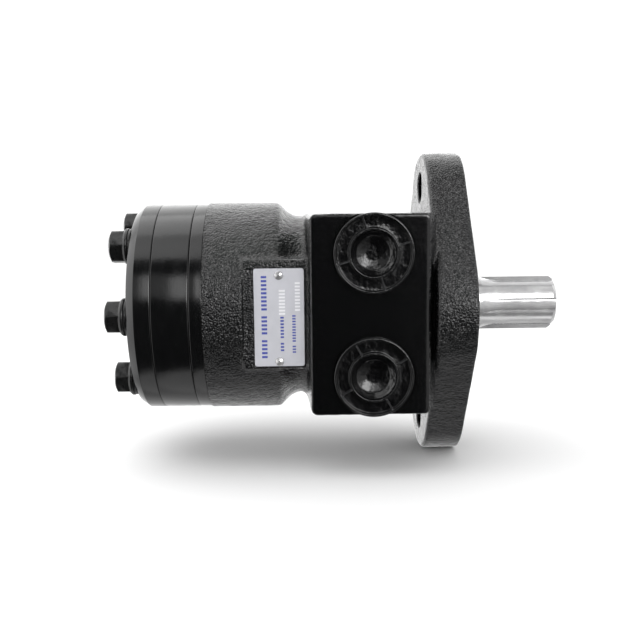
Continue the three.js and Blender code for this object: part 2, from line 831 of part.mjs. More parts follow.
function endCover() {
  const [bevelLength, bevelDepth] = COVER_BEVEL;
  const x0 = STACK.coverRear;
  const x1 = STACK.ringRear - GAP;
  const blank = turned([
    [x0, 0],
    [x0, BODY.turnedR - bevelDepth],
    [x0 + bevelLength, BODY.turnedR],
    [x1 - EDGE_EASE, BODY.turnedR],
    [x1, BODY.turnedR - EDGE_EASE],
    [x1, 0],
  ]);
  return cut(blank, [
    ...boltHoles(x0 - OVERCUT, x1 + OVERCUT),
    rod([x0 - OVERCUT, 0, 0], [x1 + OVERCUT, 0, 0], DRAIN.holeR, ROUND.medium),
    rod([x0 - OVERCUT, 0, 0], [x0 + DRAIN.ringRecessDepth, 0, 0], DRAIN.ringRecessR, ROUND.medium),
  ]);
}

const washerOuterX = STACK.coverRear - GAP - BOLT.washerThickness;

function boltWasher(angle) {
  const ring = tube(washerOuterX, STACK.coverRear - GAP, BOLT.holeR, BOLT.washerR, ROUND.small);
  return ring.translate([0, ...polar(BOLT.circleR, angle)]);
}

// Hexagon bolt with a coned collar and a round rim under the hexagon.
function coverBolt(angle) {
  const b = BOLT;
  const seat = washerOuterX - GAP;
  const rimTop = seat - b.rimThickness;
  const hexStart = rimTop - b.coneHeight;
  const shankAndCollar = turned([
    [hexStart, 0],
    [hexStart, b.coneR],
    [rimTop, b.rimR],
    [seat, b.rimR],
    [seat, b.shankR],
    [b.tip, b.shankR],
    [b.tip, 0],
  ], ROUND.small);
  const hex = slab(hexagon(b.acrossFlats, b.hexTwist), b.hexEnd, hexStart + GAP);
  return shankAndCollar.add(hex).translate([0, ...polar(b.circleR, angle)]);
}

function drainPlug() {
  const d = DRAIN;
  const seat = STACK.coverRear - GAP;
  const hexStart = seat - d.collarThickness;
  const stem = turned([
    [hexStart, 0],
    [hexStart, d.collarR],
    [seat, d.collarR],
    [seat, d.shankR],
    [d.shankEnd, d.shankR],
    [d.shankEnd, 0],
  ], ROUND.medium);
  return stem.add(slab(hexagon(d.acrossFlats, 0), hexStart - d.hexHeight, hexStart + GAP));
}

function drainRing() {
  const x = STACK.coverRear + DRAIN.ringRecessDepth / 2;
  return roundRing(x, DRAIN.ringCircleR, DRAIN.ringSectionR, ROUND.medium);
}

// ---------------------------------------------------------------- ports, balls and nameplate

// Moulded transport plug: a rimmed head with a ribbed trough around a hollow threaded stem.
function portPlug(z, turn) {
  const p = PLUG;
  const seat = BLOCK.face + PORT.spotDepth - GAP;
  const top = BLOCK.face - p.headProud;
  const profile = [
    [0, seat + p.shankDepth],
    [p.shankR, seat + p.shankDepth],
    [p.shankR, seat],
    [p.headR, seat],
    [p.headR, top],
    [p.headR - p.rimWall, top],
    [p.headR - p.rimWall, top + p.trough],
    [p.hubR, top + p.trough],
    [p.hubR, top],
    [p.hubR - p.hubWall, top],
    [p.wellR, top + p.trough],
    [p.wellR, top + p.wellDepth],
    [0, top + p.wellDepth],
  ];
  const points = profile.map(([r, y]) => new THREE.Vector2(r, y));
  const cup = solid(new THREE.LatheGeometry(points, ROUND.medium));
  const ribs = around(p.ribs, turn).map((angle) => {
    const inner = p.hubR - p.hubWall / 2;
    const outer = p.headR - p.rimWall / 2;
    const rib = new THREE.BoxGeometry(outer - inner, p.trough, p.ribWidth);
    rib.translate((inner + outer) / 2, top + p.ribSink + p.trough / 2, 0);
    return solid(rib.rotateY(-angle));
  });
  return joined([cup, ...ribs]).translate([PORT.x, 0, z]);
}

function checkBall(angle) {
  const ball = new THREE.SphereGeometry(CHECK_VALVE.ballR, ROUND.small, ROUND.drill);
  return solid(ball.translate(CHECK_VALVE.ballX, ...polar(CHECK_VALVE.circleR, angle)));
}

function nameplate() {
  const p = PLATE;
  const outline = roundedRectangle(p.rear, p.front, p.bottom, p.top, p.cornerR);
  const blank = facingPort(outline, PAD.face - GAP, p.thickness);
  const holes = RIVET.zs.map((z) => {
    const holeR = RIVET.pinR + RUNNING_GAP;
    return rod([RIVET.x, PAD.face - OVERCUT, z], [RIVET.x, PAD.face + OVERCUT, z], holeR, ROUND.drill);
  });
  return cut(blank, holes);
}

const plateFace = PAD.face - GAP - PLATE.thickness - GAP;

function plateRivet(z) {
  const r = RIVET;
  const profile = [
    [0, plateFace + r.pinLength],
    [r.pinR, plateFace + r.pinLength],
    [r.pinR, plateFace],
    [r.headR, plateFace],
    [r.shoulderR, plateFace - r.shoulderHeight],
    [0, plateFace - r.headHeight],
  ];
  const points = profile.map(([radius, y]) => new THREE.Vector2(radius, y));
  return solid(new THREE.LatheGeometry(points, ROUND.small)).translate([r.x, 0, z]);
}

function rivetHoles() {
  const end = plateFace + RIVET.pinLength + GAP;
  return RIVET.zs.map((z) => {
    const holeR = RIVET.pinR + RUNNING_GAP;
    return rod([RIVET.x, PAD.face - OVERCUT, z], [RIVET.x, end, z], holeR, ROUND.drill);
  });
}

// ---------------------------------------------------------------- assembly

const boltAngles = around(BOLT.count, BOLT.firstAngle);
const numbered = (name, list, make, material) =>
  list.map((value, i) => node(`${name}_${i + 1}`, make(value), material));

const faceRing = (x, direction) => roundRing(
  x + (direction * FACE_RING.grooveDepth) / 2, FACE_RING.circleR, FACE_RING.sectionR, ROUND.large,
);
const { ringX, ringCircleR, ringSectionR } = FRONT_COVER;
const coverRing = roundRing(ringX, ringCircleR, ringSectionR, ROUND.medium);
const race = (span) => tube(...span, THRUST.innerR, THRUST.outerR, ROUND.medium);

const motor = new THREE.Group();
motor.add(
  node('housing', cut(housing(), rivetHoles()), blackCasting),
  node('front_cover', frontCover(), blackTurned),
  ...numbered('front_cover_screw', screwAngles, coverScrew, darkSteel),
  node('front_cover_o_ring', coverRing, nitrile),
  node('shaft_seal', shaftSeal(), sealRubber),
  node('dust_seal', dustSeal(), nitrile),
  node('thrust_race_front', race(THRUST.frontRace), hardSteel),
  node('thrust_needle_cage', needleCage(), hardSteel),
  node('thrust_race_rear', race(THRUST.rearRace), hardSteel),
  node('output_shaft', outputShaft(), brightSteel),
  node('cardan_shaft', cardanShaft(), hardSteel),
  node('drive_spacer', driveSpacer(), hardSteel),
  node('rotor', rotor(), hardSteel),
  node('stator_ring', statorRing(), blackTurned),
  node('spacer_plate', spacerPlate(), blackTurned),
  node('end_cover', endCover(), blackTurned),
  node('housing_o_ring', faceRing(BODY.rear, 1), nitrile),
  node('stator_o_ring_front', faceRing(gerotorSpan[1], -1), nitrile),
  node('stator_o_ring_rear', faceRing(gerotorSpan[0], 1), nitrile),
  ...numbered('end_cover_bolt', boltAngles, coverBolt, darkSteel),
  ...numbered('bolt_washer', boltAngles, boltWasher, darkSteel),
  node('drain_plug', drainPlug(), darkSteel),
  node('drain_plug_o_ring', drainRing(), nitrile),
  ...numbered('check_ball', CHECK_VALVE.angles, checkBall, brightSteel),
  node('port_plug_a', portPlug(PORT.z, PLUG.turnA), blackPlastic),
  node('port_plug_b', portPlug(-PORT.z, PLUG.turnB), blackPlastic),
  node('nameplate', nameplate(), silverPlate),
  ...numbered('nameplate_rivet', RIVET.zs, plateRivet, silverPlate),
);
motor.position.x = -SHAFT.projection;

export default motor;
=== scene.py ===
"""The look of an orbit-type hydraulic motor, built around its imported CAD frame.

Shapes are modelled in millimetres with the mounting face at x = 0, the shaft along +X and the
ports facing -Y. `new_object` moves them into the frame. Angles around the shaft run from -Y
towards +Z.
"""

import math

import bmesh
import bpy
import numpy as np
from mathutils import Matrix, Vector


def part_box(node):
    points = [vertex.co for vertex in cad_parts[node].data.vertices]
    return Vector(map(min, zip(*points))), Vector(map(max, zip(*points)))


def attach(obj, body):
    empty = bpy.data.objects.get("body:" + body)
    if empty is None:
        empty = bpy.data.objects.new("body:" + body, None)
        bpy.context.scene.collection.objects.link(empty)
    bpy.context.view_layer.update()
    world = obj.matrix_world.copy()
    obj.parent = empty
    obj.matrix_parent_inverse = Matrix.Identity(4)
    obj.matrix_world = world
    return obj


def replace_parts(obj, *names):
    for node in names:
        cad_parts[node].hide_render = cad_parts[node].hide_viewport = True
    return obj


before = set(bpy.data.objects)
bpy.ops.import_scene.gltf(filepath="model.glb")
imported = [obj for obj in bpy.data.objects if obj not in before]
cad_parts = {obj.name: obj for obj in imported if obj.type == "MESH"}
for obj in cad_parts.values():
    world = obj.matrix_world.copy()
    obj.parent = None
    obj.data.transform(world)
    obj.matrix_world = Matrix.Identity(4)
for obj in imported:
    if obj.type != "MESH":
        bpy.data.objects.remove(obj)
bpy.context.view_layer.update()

# ---- dimensions, millimetres

MM = 0.001
SHAFT_END = 45.0
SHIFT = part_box("output_shaft")[1].x / MM - SHAFT_END
MOTOR = "motor_body"  # the body that everything fixed rides on
GAP = 0.05  # between pieces that touch
OVERCUT = 1.0  # how far a cutting tool reaches past the surface it cuts
LARGE, MEDIUM, SMALL = 192, 96, 40  # facets of a full circle

FLANGE = dict(thickness=16.5, half_length=68.6, end_r=28.0, half_width=55.0, side_r=33.0)
FLANGE_HOLE = dict(z=53.2, r=6.75)
BODY = dict(cast_r=47.1, turned_r=46.7, rear=-112.5, cone=-81.5, neck=-75.4, neck_r=40.7)
BLOCK = dict(rear=-68.0, front=-19.2, foot=-16.0, half_height=41.3, face=-50.0, corner_r=2.6)
PAD = dict(rear=-95.8, front=-66.0, face=-44.0, top=23.0, bottom=-22.6, back=-30.0)
PORT = dict(x=-42.2, z=25.3, spot_r=17.2, spot_depth=0.3, thread_r=10.3, thread_depth=17.0)
PLATE_REAR, RING_REAR, COVER_REAR = -118.0, -133.6, -144.0
SEAT, COVER_R, PILOT_R, PILOT_HEIGHT = -6.0, 35.0, 22.2, 2.8
SPOOL = dict(bore_r=17.85, r=17.8, galleries=(-30.0, -66.0), gallery_half=3.0)
BEARING = dict(rear=-17.5, bore_r=22.65, inner_r=14.6, outer_r=22.2, middle=-14.75)
CHANNELS = dict(circle_r=25.0, r=2.3, front=-55.5)
HEX = 13.0  # across the flats of the cover bolts and the drain plug
BOLTS = dict(count=7, circle_r=36.6, first=math.radians(50.1), hole_r=4.3, top=-153.5)
SCREWS = dict(count=4, circle_r=28.4, head_r=5.2, shank_r=2.7, tip=-16.0)
SPLINE = dict(teeth=6, r=12.66, root_r=10.8, width=6.35, first=math.radians(26.8))
LOBES = dict(count=7, circle_r=31.0, r=6.4, offset=2.8, wall_r=30.7, clearance=0.13)
CARDAN = dict(front=-75.0, rear=-124.3, half=5.5, waist_r=8.2)
FACE_RING = dict(circle_r=43.5, section_r=0.85, half_width=1.1, depth=1.9)
CHECKS = dict(circle_r=30.0, angles=[math.radians(a) for a in (-129.9, -232.8)], floor=-105.0,
              hole_r=3.3, ball_r=2.9, ball_x=-108.4)
PLATE = dict(rear=-91.2, front=-70.5, bottom=-21.3, top=19.3, thickness=0.5)
RIVETS = dict(x=-80.9, zs=(16.4, -19.4), hole_r=1.2)

# ---- meshes


def linked(name, data):
    """A new object in the scene."""
    made = bpy.data.objects.new(name, data)
    bpy.context.scene.collection.objects.link(made)
    return made


def new_object(points, faces):
    """An object from millimetre points, placed in the frame, with its faces turned outwards."""
    mesh = bpy.data.meshes.new("part")
    placed = (np.asarray(points, float) + (SHIFT, 0.0, 0.0)) * MM
    mesh.from_pydata(placed.tolist(), [], [list(map(int, f)) for f in faces])
    shape = bmesh.new()
    shape.from_mesh(mesh)
    bmesh.ops.remove_doubles(shape, verts=shape.verts, dist=1e-7)
    bmesh.ops.recalc_face_normals(shape, faces=shape.faces)
    shape.to_mesh(mesh)
    shape.free()
    return linked("part", mesh)


def around(count, first=0.0):
    """Equal angles round a circle."""
    return [first - i * math.tau / count for i in range(count)]


def polar(r, angle):
    """The (y, z) of a point at a radius and an angle around the shaft."""
    return (-r * math.cos(angle), r * math.sin(angle))


BOLT_ANGLES = around(BOLTS["count"], BOLTS["first"])
SCREW_ANGLES = around(SCREWS["count"], math.pi / 4)
LOBE_ANGLE = BOLTS["first"] - math.pi / LOBES["count"]  # the lobes lie between the bolts
ROTOR_CENTRE = polar(LOBES["offset"], LOBE_ANGLE)


def filleted(corners, steps=4):
    """A closed outline with each (u, v, radius) corner rounded."""
    points = []
    for i, (u, v, r) in enumerate(corners):
        here = Vector((u, v))
        if r == 0:
            points.append((u, v))
            continue
        before = (Vector(corners[i - 1][:2]) - here).normalized()
        after = (Vector(corners[(i + 1) % len(corners)][:2]) - here).normalized()
        half = before.angle(after) / 2
        centre = here + (before + after).normalized() * (r / math.sin(half))
        start = here + before * (r / math.tan(half)) - centre
        end = here + after * (r / math.tan(half)) - centre
        for k in range(steps + 1):
            spoke = start.slerp(end, k / steps) if start.angle(end) > 1e-4 else start
            points.append(tuple(centre + spoke.normalized() * r))
    return points


def lathe(corners, facets=LARGE):
    """Turns (x, radius, fillet) corners about the shaft axis."""
    outline = filleted(corners)
    points, faces = [], []
    for angle in around(facets):
        points += [(x, *polar(r, angle)) for x, r in outline]
    n = len(outline)
    for i in range(facets):
        here, there = i * n, (i + 1) % facets * n
        for a in range(n):
            b = (a + 1) % n
            if outline[a][1] > 0 or outline[b][1] > 0:
                faces.append((here + a, here + b, there + b, there + a))
    return new_object(points, faces)


def loft(sections, closed=False):
    """Skins equal-length loops of points; the ends are capped unless the loft closes on itself."""
    n = len(sections[0])
    points = [p for section in sections for p in section]
    spans = len(sections) if closed else len(sections) - 1
    faces = [
        (s * n + a, s * n + (a + 1) % n, (s + 1) % len(sections) * n + (a + 1) % n,
         (s + 1) % len(sections) * n + a)
        for s in range(spans) for a in range(n)
    ]
    if not closed:
        faces += [tuple(range(n)), tuple(range(len(points) - n, len(points)))]
    return new_object(points, faces)


def prism_x(outline, x0, x1):
    """An outline in (y, z) drawn out along the shaft."""
    return loft([[(x, y, z) for y, z in outline] for x in (x0, x1)])


def rod(start, end, r0, r1=None, facets=SMALL):
    """A round bar between two points, tapering if a second radius is given."""
    start, end = Vector(start), Vector(end)
    side = (end - start).orthogonal().normalized()
    other = (end - start).normalized().cross(side)
    ends = ((start, r0), (end, r0 if r1 is None else r1))
    return loft([
        [tuple(centre + r * (math.cos(t) * side + math.sin(t) * other)) for t in around(facets)]
        for centre, r in ends
    ])


def drill(x0, x1, circle_r, angle, r):
    """A tool along the shaft's direction, off its axis."""
    return rod((x0, *polar(circle_r, angle)), (x1, *polar(circle_r, angle)), r)


def torus(x, circle_r, section_r):
    sides = 20
    return loft([
        [(x + section_r * math.sin(t), *polar(circle_r + section_r * math.cos(t), angle))
         for t in around(sides)]
        for angle in around(LARGE)
    ], closed=True)


def boolean(piece, tools, operation):
    """Joins, cuts or intersects a piece with tools, and removes the tools."""
    for tool in tools:
        step = piece.modifiers.new(operation, "BOOLEAN")
        step.operation, step.solver, step.object = operation, "MANIFOLD", tool
    graph = bpy.context.evaluated_depsgraph_get()
    baked = bpy.data.meshes.new_from_object(piece.evaluated_get(graph))
    baked.materials.clear()  # the modifier leaves an empty slot
    piece.modifiers.clear()
    piece.data = baked
    for tool in tools:
        bpy.data.objects.remove(tool)
    return piece


def cut(piece, tools):
    """Cuts the union of the tools out of a piece."""
    if len(tools) > 1:
        boolean(tools[0], tools[1:], "UNION")
    return boolean(piece, tools[:1], "DIFFERENCE")


def shade(piece, sharp):
    """Smooth shading that breaks at edges sharper than the given degrees."""
    shape = bmesh.new()
    shape.from_mesh(piece.data)
    limit = math.radians(sharp)
    for face in shape.faces:
        face.smooth = True
    for edge in shape.edges:
        edge.smooth = len(edge.link_faces) == 2 and edge.calc_face_angle(0.0) < limit
    shape.to_mesh(piece.data)
    shape.free()


def finish(piece, name, slot, material, body=MOTOR, sharp=32.0):
    """Names and shades a piece, and gives it its material and the body it rides on. Its slot is not
    used.
    """
    piece.name = piece.data.name = name
    shade(piece, sharp)
    if material:
        piece.data.materials.append(material)
    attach(piece, body)
    return piece


def stand_in(piece, node, *looks, **settings):
    """Finishes a piece and puts it in place of a CAD node."""
    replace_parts(finish(piece, node + "_body", *looks, **settings), node)


# ---- cast housing

CAST_STEP = 0.8  # spacing of the samples that the casting's skin is drawn from


def blend_min(a, b, k):
    """The union of two distance fields, with a fillet about 0.85 k in radius."""
    h = np.maximum(k - np.abs(a - b), 0.0)
    return np.minimum(a, b) - h * h / (4 * k)


def blend_max(a, b, k):
    return -blend_min(-a, -b, k)


def rounded_box(x, y, z, low, high, r):
    centre = [(a + b) / 2 for a, b in zip(low, high)]
    half = [(b - a) / 2 - r for a, b in zip(low, high)]
    q = [np.abs(v - c) - h for v, c, h in zip((x, y, z), centre, half)]
    outside = np.sqrt(sum(np.maximum(v, 0.0) ** 2 for v in q))
    return outside + np.minimum(np.maximum(np.maximum(q[0], q[1]), q[2]), 0.0) - r


def flange_outline_distance(y, z):
    """Distance to the oval flange: two end arcs, two side arcs and their tangents."""
    side = FLANGE["half_width"] - FLANGE["side_r"]
    end = FLANGE["half_length"] - FLANGE["end_r"]
    spread, slope = math.hypot(end, side), math.atan2(end, side)
    lean = math.acos((FLANGE["end_r"] - FLANGE["side_r"]) / spread) - slope
    y, z = np.abs(y), np.abs(z)
    normal, along = (math.cos(lean), math.sin(lean)), (-math.sin(lean), math.cos(lean))
    at_side = (y - side) * along[0] + z * along[1] < 0
    at_end = y * along[0] + (z - end) * along[1] > 0
    flat = (y - side) * normal[0] + z * normal[1] - FLANGE["side_r"]
    round_side = np.hypot(y - side, z) - FLANGE["side_r"]
    round_end = np.hypot(y, z - end) - FLANGE["end_r"]
    return np.where(at_side, round_side, np.where(at_end, round_end, flat))


def casting_distance(x, y, z):
    """Signed distance to the casting's skin before machining, in millimetres."""
    r = np.hypot(y, z)
    fall, run = BODY["cast_r"] - BODY["neck_r"], BODY["neck"] - BODY["cone"]
    length = math.hypot(fall, run)
    cone = ((x - BODY["cone"]) * fall + (r - BODY["cast_r"]) * run) / length
    crown = blend_max(r - BODY["cast_r"], cone, 1.2)
    neck = blend_max(r - BODY["neck_r"], x + 6.0, 1.0)
    body = blend_min(crown, neck, 3.0)

    pad = rounded_box(
        x, y, z, (PAD["rear"], PAD["face"], PAD["bottom"]),
        (PAD["front"], PAD["back"], PAD["top"]), 0.9)
    body = blend_min(body, pad, 2.4)
    pocket = rounded_box(
        x, y, z, (PAD["rear"], PAD["face"] - 30, PAD["bottom"]),
        (PAD["front"] + 10, PAD["face"], PAD["top"]), 0.8)
    body = blend_max(body, -pocket, 1.0)

    depth = np.clip(y - BLOCK["face"], 0.0, 40.0)
    rear_wall = BLOCK["rear"] - 0.05 * depth
    front_wall = np.minimum(BLOCK["front"] + 0.5 * depth, BLOCK["foot"])
    corner = BLOCK["corner_r"]
    u = np.abs(x - (rear_wall + front_wall) / 2) - (front_wall - rear_wall) / 2 + corner
    v = np.abs(z) - BLOCK["half_height"] - 0.01 * depth + corner
    plan = np.hypot(np.maximum(u, 0), np.maximum(v, 0)) + np.minimum(np.maximum(u, v), 0) - corner
    block = blend_max(blend_max(plan, BLOCK["face"] - y, 1.1), y - 1.0, 1.0)

    plate = blend_max(flange_outline_distance(y, z), -FLANGE["thickness"] - x, 2.0)
    ease = (flange_outline_distance(y, z) + x + 0.5) / math.sqrt(2)
    plate = blend_max(plate, ease, 0.3)
    ported = blend_min(block, plate, 1.2)
    return blend_max(blend_min(body, ported, 2.8), x - OVERCUT, 0.2)


def waves(points, wavelength, seed, count=28):
    """A smooth, repeatable random field about one unit high, made of crossing plane waves."""
    random = np.random.default_rng(seed)
    directions = random.normal(size=(count, 3))
    directions /= np.linalg.norm(directions, axis=1)[:, None]
    rates = math.tau / wavelength * random.uniform(0.6, 1.5, count)
    phases = random.uniform(0, math.tau, count)
    return np.sin(points @ (directions * rates[:, None]).T + phases).sum(1) / math.sqrt(count)


def skin(field, low, high, step):
    """Quads of a distance field's zero surface, with one point per crossed cell."""
    axes = [np.arange(a, b + step, step) for a, b in zip(low, high)]
    grid = np.meshgrid(*axes, indexing="ij")
    value = field(*grid)
    cells, edges = [], []
    for axis in range(3):
        here = [slice(None)] * 3
        there = [slice(None)] * 3
        here[axis], there[axis] = slice(None, -1), slice(1, None)
        a, b = value[tuple(here)], value[tuple(there)]
        index = np.argwhere((a < 0) != (b < 0))
        start, stop = a[tuple(index.T)], b[tuple(index.T)]
        crossing = index.astype(float)
        crossing[:, axis] += start / (start - stop)
        u, v = (axis + 1) % 3, (axis + 2) % 3
        ring = []
        for du, dv in ((0, 0), (-1, 0), (-1, -1), (0, -1)):
            cell = index.copy()
            cell[:, u] += du
            cell[:, v] += dv
            ring.append(np.ravel_multi_index(cell.T, value.shape))
        ring = np.stack(ring, 1)
        ring[start > 0] = ring[start > 0][:, ::-1]
        cells.append(ring)
        edges.append(np.repeat(crossing[:, None], 4, 1).reshape(-1, 3))
    cells = np.concatenate(cells)
    quads = np.unique(cells, return_inverse=True)[1].reshape(-1, 4)
    crossings = np.concatenate(edges)
    hits = np.bincount(quads.ravel())
    points = np.stack([np.bincount(quads.ravel(), crossings[:, k]) / hits for k in range(3)], 1)
    points = points * step + np.array(low)
    for _ in range(3):
        distance, slope = field(*points.T), gradient(field, points)
        points -= slope * (distance / (slope ** 2).sum(1))[:, None]
    return points, quads


def gradient(field, points, reach=0.05):
    return np.stack([
        (field(*(points + step).T) - field(*(points - step).T)) / (2 * reach)
        for step in reach * np.eye(3)], 1)


def cast_blank():
    """The casting before machining, with a faint swell on its cast faces."""
    low = (BODY["rear"] - 3.0, -FLANGE["half_width"] - 2.0, -FLANGE["half_length"] - 2.0)
    high = (OVERCUT + 2.0, FLANGE["half_width"] + 2.0, FLANGE["half_length"] + 2.0)

    def field(x, y, z):
        return blend_max(casting_distance(x, y, z), BODY["rear"] - OVERCUT - x, 0.2)

    points, quads = skin(field, low, high, CAST_STEP)
    normal = gradient(field, points)
    normal /= np.linalg.norm(normal, axis=1)[:, None]
    smooth_face = (points[:, 1] < BLOCK["face"] + 0.4) & (points[:, 0] < BLOCK["front"] + 0.3)
    swell = 0.07 * waves(points, 11.0, 1) + 0.035 * waves(points, 3.2, 2)
    points += normal * np.where(smooth_face, 0.0, swell)[:, None]
    return new_object(points, quads)


def face_groove(x, direction):
    """The cutter of a face seal's groove, sunk from x in the given direction."""
    inner = FACE_RING["circle_r"] - FACE_RING["half_width"]
    outer = FACE_RING["circle_r"] + FACE_RING["half_width"]
    ends = (x - direction * OVERCUT, x + direction * FACE_RING["depth"])
    return lathe([
        (ends[0], inner, 0), (ends[1], inner, 0), (ends[1], outer, 0), (ends[0], outer, 0)])


def bore_tools():
    """The bores, ports, galleries and holes that are machined into the casting."""
    rear = BODY["rear"] - 2 * OVERCUT
    tools = [
        lathe([
            (rear, 0, 0), (rear, SPOOL["bore_r"], 0), (BEARING["rear"], SPOOL["bore_r"], 0),
            (BEARING["rear"], BEARING["bore_r"], 0), (SEAT, BEARING["bore_r"], 0),
            (SEAT, COVER_R + 0.15, 0), (-0.4, COVER_R + 0.15, 0), (OVERCUT, COVER_R + 1.55, 0),
            (OVERCUT, 0, 0),
        ]),
        face_groove(BODY["rear"], 1),
    ]
    for z in (-FLANGE_HOLE["z"], FLANGE_HOLE["z"]):
        r, back = FLANGE_HOLE["r"], -FLANGE["thickness"]
        tools += [
            rod((back - 5, 0, z), (2, 0, z), r, facets=MEDIUM),
            rod((back - 1, 0, z), (back + 0.5, 0, z), r + 1.5, r, facets=MEDIUM),
            rod((1, 0, z), (-0.5, 0, z), r + 1.5, r, facets=MEDIUM),
        ]
    for angle in SCREW_ANGLES:
        tools.append(drill(-18.0, SEAT + OVERCUT, SCREWS["circle_r"], angle, 3.0))
    for angle in BOLT_ANGLES:
        tools += [
            drill(rear, -96.0, BOLTS["circle_r"], angle, BOLTS["hole_r"]),
            drill(rear, CHANNELS["front"], CHANNELS["circle_r"], angle, CHANNELS["r"]),
            rod((CHANNELS["front"] + 1, *polar(CHANNELS["circle_r"], angle)),
                (CHANNELS["front"] + 1, *polar(13.3, angle)), 2.2),
        ]
    face, x, thread_r, half = BLOCK["face"], PORT["x"], PORT["thread_r"], SPOOL["gallery_half"]
    for gallery, side in zip(SPOOL["galleries"], (1.0, -1.0)):
        z = side * PORT["z"]
        tools += [
            lathe([(gallery - half, 15.0, 0), (gallery + half, 15.0, 0),
                   (gallery + half, 22.5, 0), (gallery - half, 22.5, 0)]),
            rod((x, face - 2, z), (x, face + PORT["spot_depth"], z), PORT["spot_r"], facets=MEDIUM),
            rod((x, face - 2, z), (x, face + PORT["thread_depth"], z), thread_r, facets=MEDIUM),
            rod((x, face - 0.5, z), (x, face + 2.4, z), 12.9, thread_r, facets=MEDIUM),
            rod((x, face + 10, z), (x, -8, z), 7.0),
            rod((x, -8, z), (gallery, -1, side * 19.5), 3.0),
        ]
    for angle, gallery in zip(CHECKS["angles"], SPOOL["galleries"]):
        tools += [
            drill(rear, CHECKS["floor"], CHECKS["circle_r"], angle, CHECKS["hole_r"]),
            rod((CHECKS["floor"] - 1, *polar(CHECKS["circle_r"], angle)),
                (gallery, *polar(21.5, angle)), 1.4),
        ]
    face, x = PAD["face"], RIVETS["x"]
    return tools + [
        rod((x, face - 1, z), (x, face + 2.5, z), RIVETS["hole_r"]) for z in RIVETS["zs"]]


def housing(skins):
    """The casting, trimmed to its two machined end faces and bored.

    The skins are the paint on cast faces, the paint on machined faces, and bare metal.
    """
    piece = cast_blank()
    far = 90.0
    cut(piece, [drill(BODY["rear"] - 20, BODY["rear"], 0, 0, far), drill(0, 20, 0, 0, far)])
    cut(piece, bore_tools())
    faces = piece.data.polygons
    centres, normals = np.empty((2, 3 * len(faces)))
    faces.foreach_get("center", centres)
    faces.foreach_get("normal", normals)
    x, y, z = (centres.reshape(-1, 3) / MM - (SHIFT, 0.0, 0.0)).T
    on_skin = np.abs(casting_distance(x, y, z)) < 0.3
    r = np.hypot(y, z)
    ends = (x > -0.01) | (x < BODY["rear"] + 0.01)
    port_face = (y < BLOCK["face"] + 0.35) & (x < BLOCK["front"] + 0.6) & (normals[1::3] < -0.9)
    index = np.where(on_skin, 0, 2)
    index[ends | port_face | (~on_skin & (r > COVER_R) & (x > -FLANGE["thickness"] - 1))] = 1
    for material in skins:
        piece.data.materials.append(material)
    faces.foreach_set("material_index", index.astype(np.int32))
    return piece


# ---- stack and end cover


def bolt_holes(x0, x1):
    return [drill(x0, x1, BOLTS["circle_r"], angle, BOLTS["hole_r"]) for angle in BOLT_ANGLES]


def spacer_plate():
    x0, x1, r = PLATE_REAR, BODY["rear"] - GAP, BODY["turned_r"]
    plate = lathe([(x0, 13.3, 0.2), (x1, 13.3, 0.2), (x1, r, 0.3), (x0, r, 0.5)])
    channels = [
        drill(x0 - 1, x1 + 1, CHANNELS["circle_r"], angle, CHANNELS["r"]) for angle in BOLT_ANGLES]
    return cut(plate, channels + bolt_holes(x0 - 1, x1 + 1))


def ring_hole():
    """The ring's inner wall: arcs of the wall circle between seven convex lobes."""
    wall, circle, lobe = LOBES["wall_r"], LOBES["circle_r"], LOBES["r"]
    meet = math.acos((wall ** 2 + circle ** 2 - lobe ** 2) / (2 * wall * circle))
    start = math.atan2(wall * math.sin(meet), wall * math.cos(meet) - circle)
    points = []
    for angle in around(LOBES["count"], LOBE_ANGLE):
        cy, cz = polar(circle, angle)
        for i in range(25):
            dy, dz = polar(lobe, angle + start + (math.tau - 2 * start) * i / 24)
            points.append((cy + dy, cz + dz))
        gap = math.tau / LOBES["count"] - 2 * meet
        points += [polar(wall, angle - meet - gap * i / 12) for i in range(1, 12)]
    return points


def stator_ring():
    x0, x1, r = RING_REAR, PLATE_REAR - GAP, BODY["turned_r"]
    ring = lathe([(x0, 0, 0), (x1, 0, 0), (x1, r, 0.5), (x0, r, 0.45)])
    tools = [prism_x(ring_hole(), x0 - 1, x1 + 1), face_groove(x0, 1), face_groove(x1, -1)]
    return cut(ring, tools + bolt_holes(x0 - 1, x1 + 1))


def rotor_outline():
    """The path of a ring lobe's centre seen from the rotor, set in by the lobe's radius."""
    circle, offset, lobes = LOBES["circle_r"], LOBES["offset"], LOBES["count"]
    points = []
    for turn in around(360):
        y1, z1 = polar(1, LOBE_ANGLE + turn)
        y2, z2 = polar(1, LOBE_ANGLE + lobes * turn)
        ny, nz = circle * y1 - lobes * offset * y2, circle * z1 - lobes * offset * z2
        inset = (LOBES["r"] + LOBES["clearance"]) / math.hypot(ny, nz)
        points.append(
            (circle * y1 - offset * y2 - inset * ny, circle * z1 - offset * z2 - inset * nz))
    return points


def toothed(tip_r, root_r, tip_share, root_share):
    """The outline of the drive's twelve teeth, with half-widths as shares of the half-pitch."""
    teeth = 12
    root, tip = math.pi / teeth * root_share, math.pi / teeth * tip_share
    points = []
    for angle in around(teeth):
        points += [polar(root_r, angle + root), polar(tip_r, angle + tip), polar(tip_r, angle),
                   polar(tip_r, angle - tip), polar(root_r, angle - root)]
    return points


SPLINE_HOLE = toothed(13.0, 11.4, 0.46, 0.62)
SPLINE_PLUG = toothed(12.35, 10.7, 0.3, 0.44)


def moved(piece, matrix):
    """Moves a piece's own mesh by a millimetre matrix in the shaft's frame."""
    frame_scale = Matrix.Scale(MM, 4) @ Matrix.Translation((SHIFT, 0, 0))
    piece.data.transform(frame_scale @ matrix @ frame_scale.inverted())
    return piece


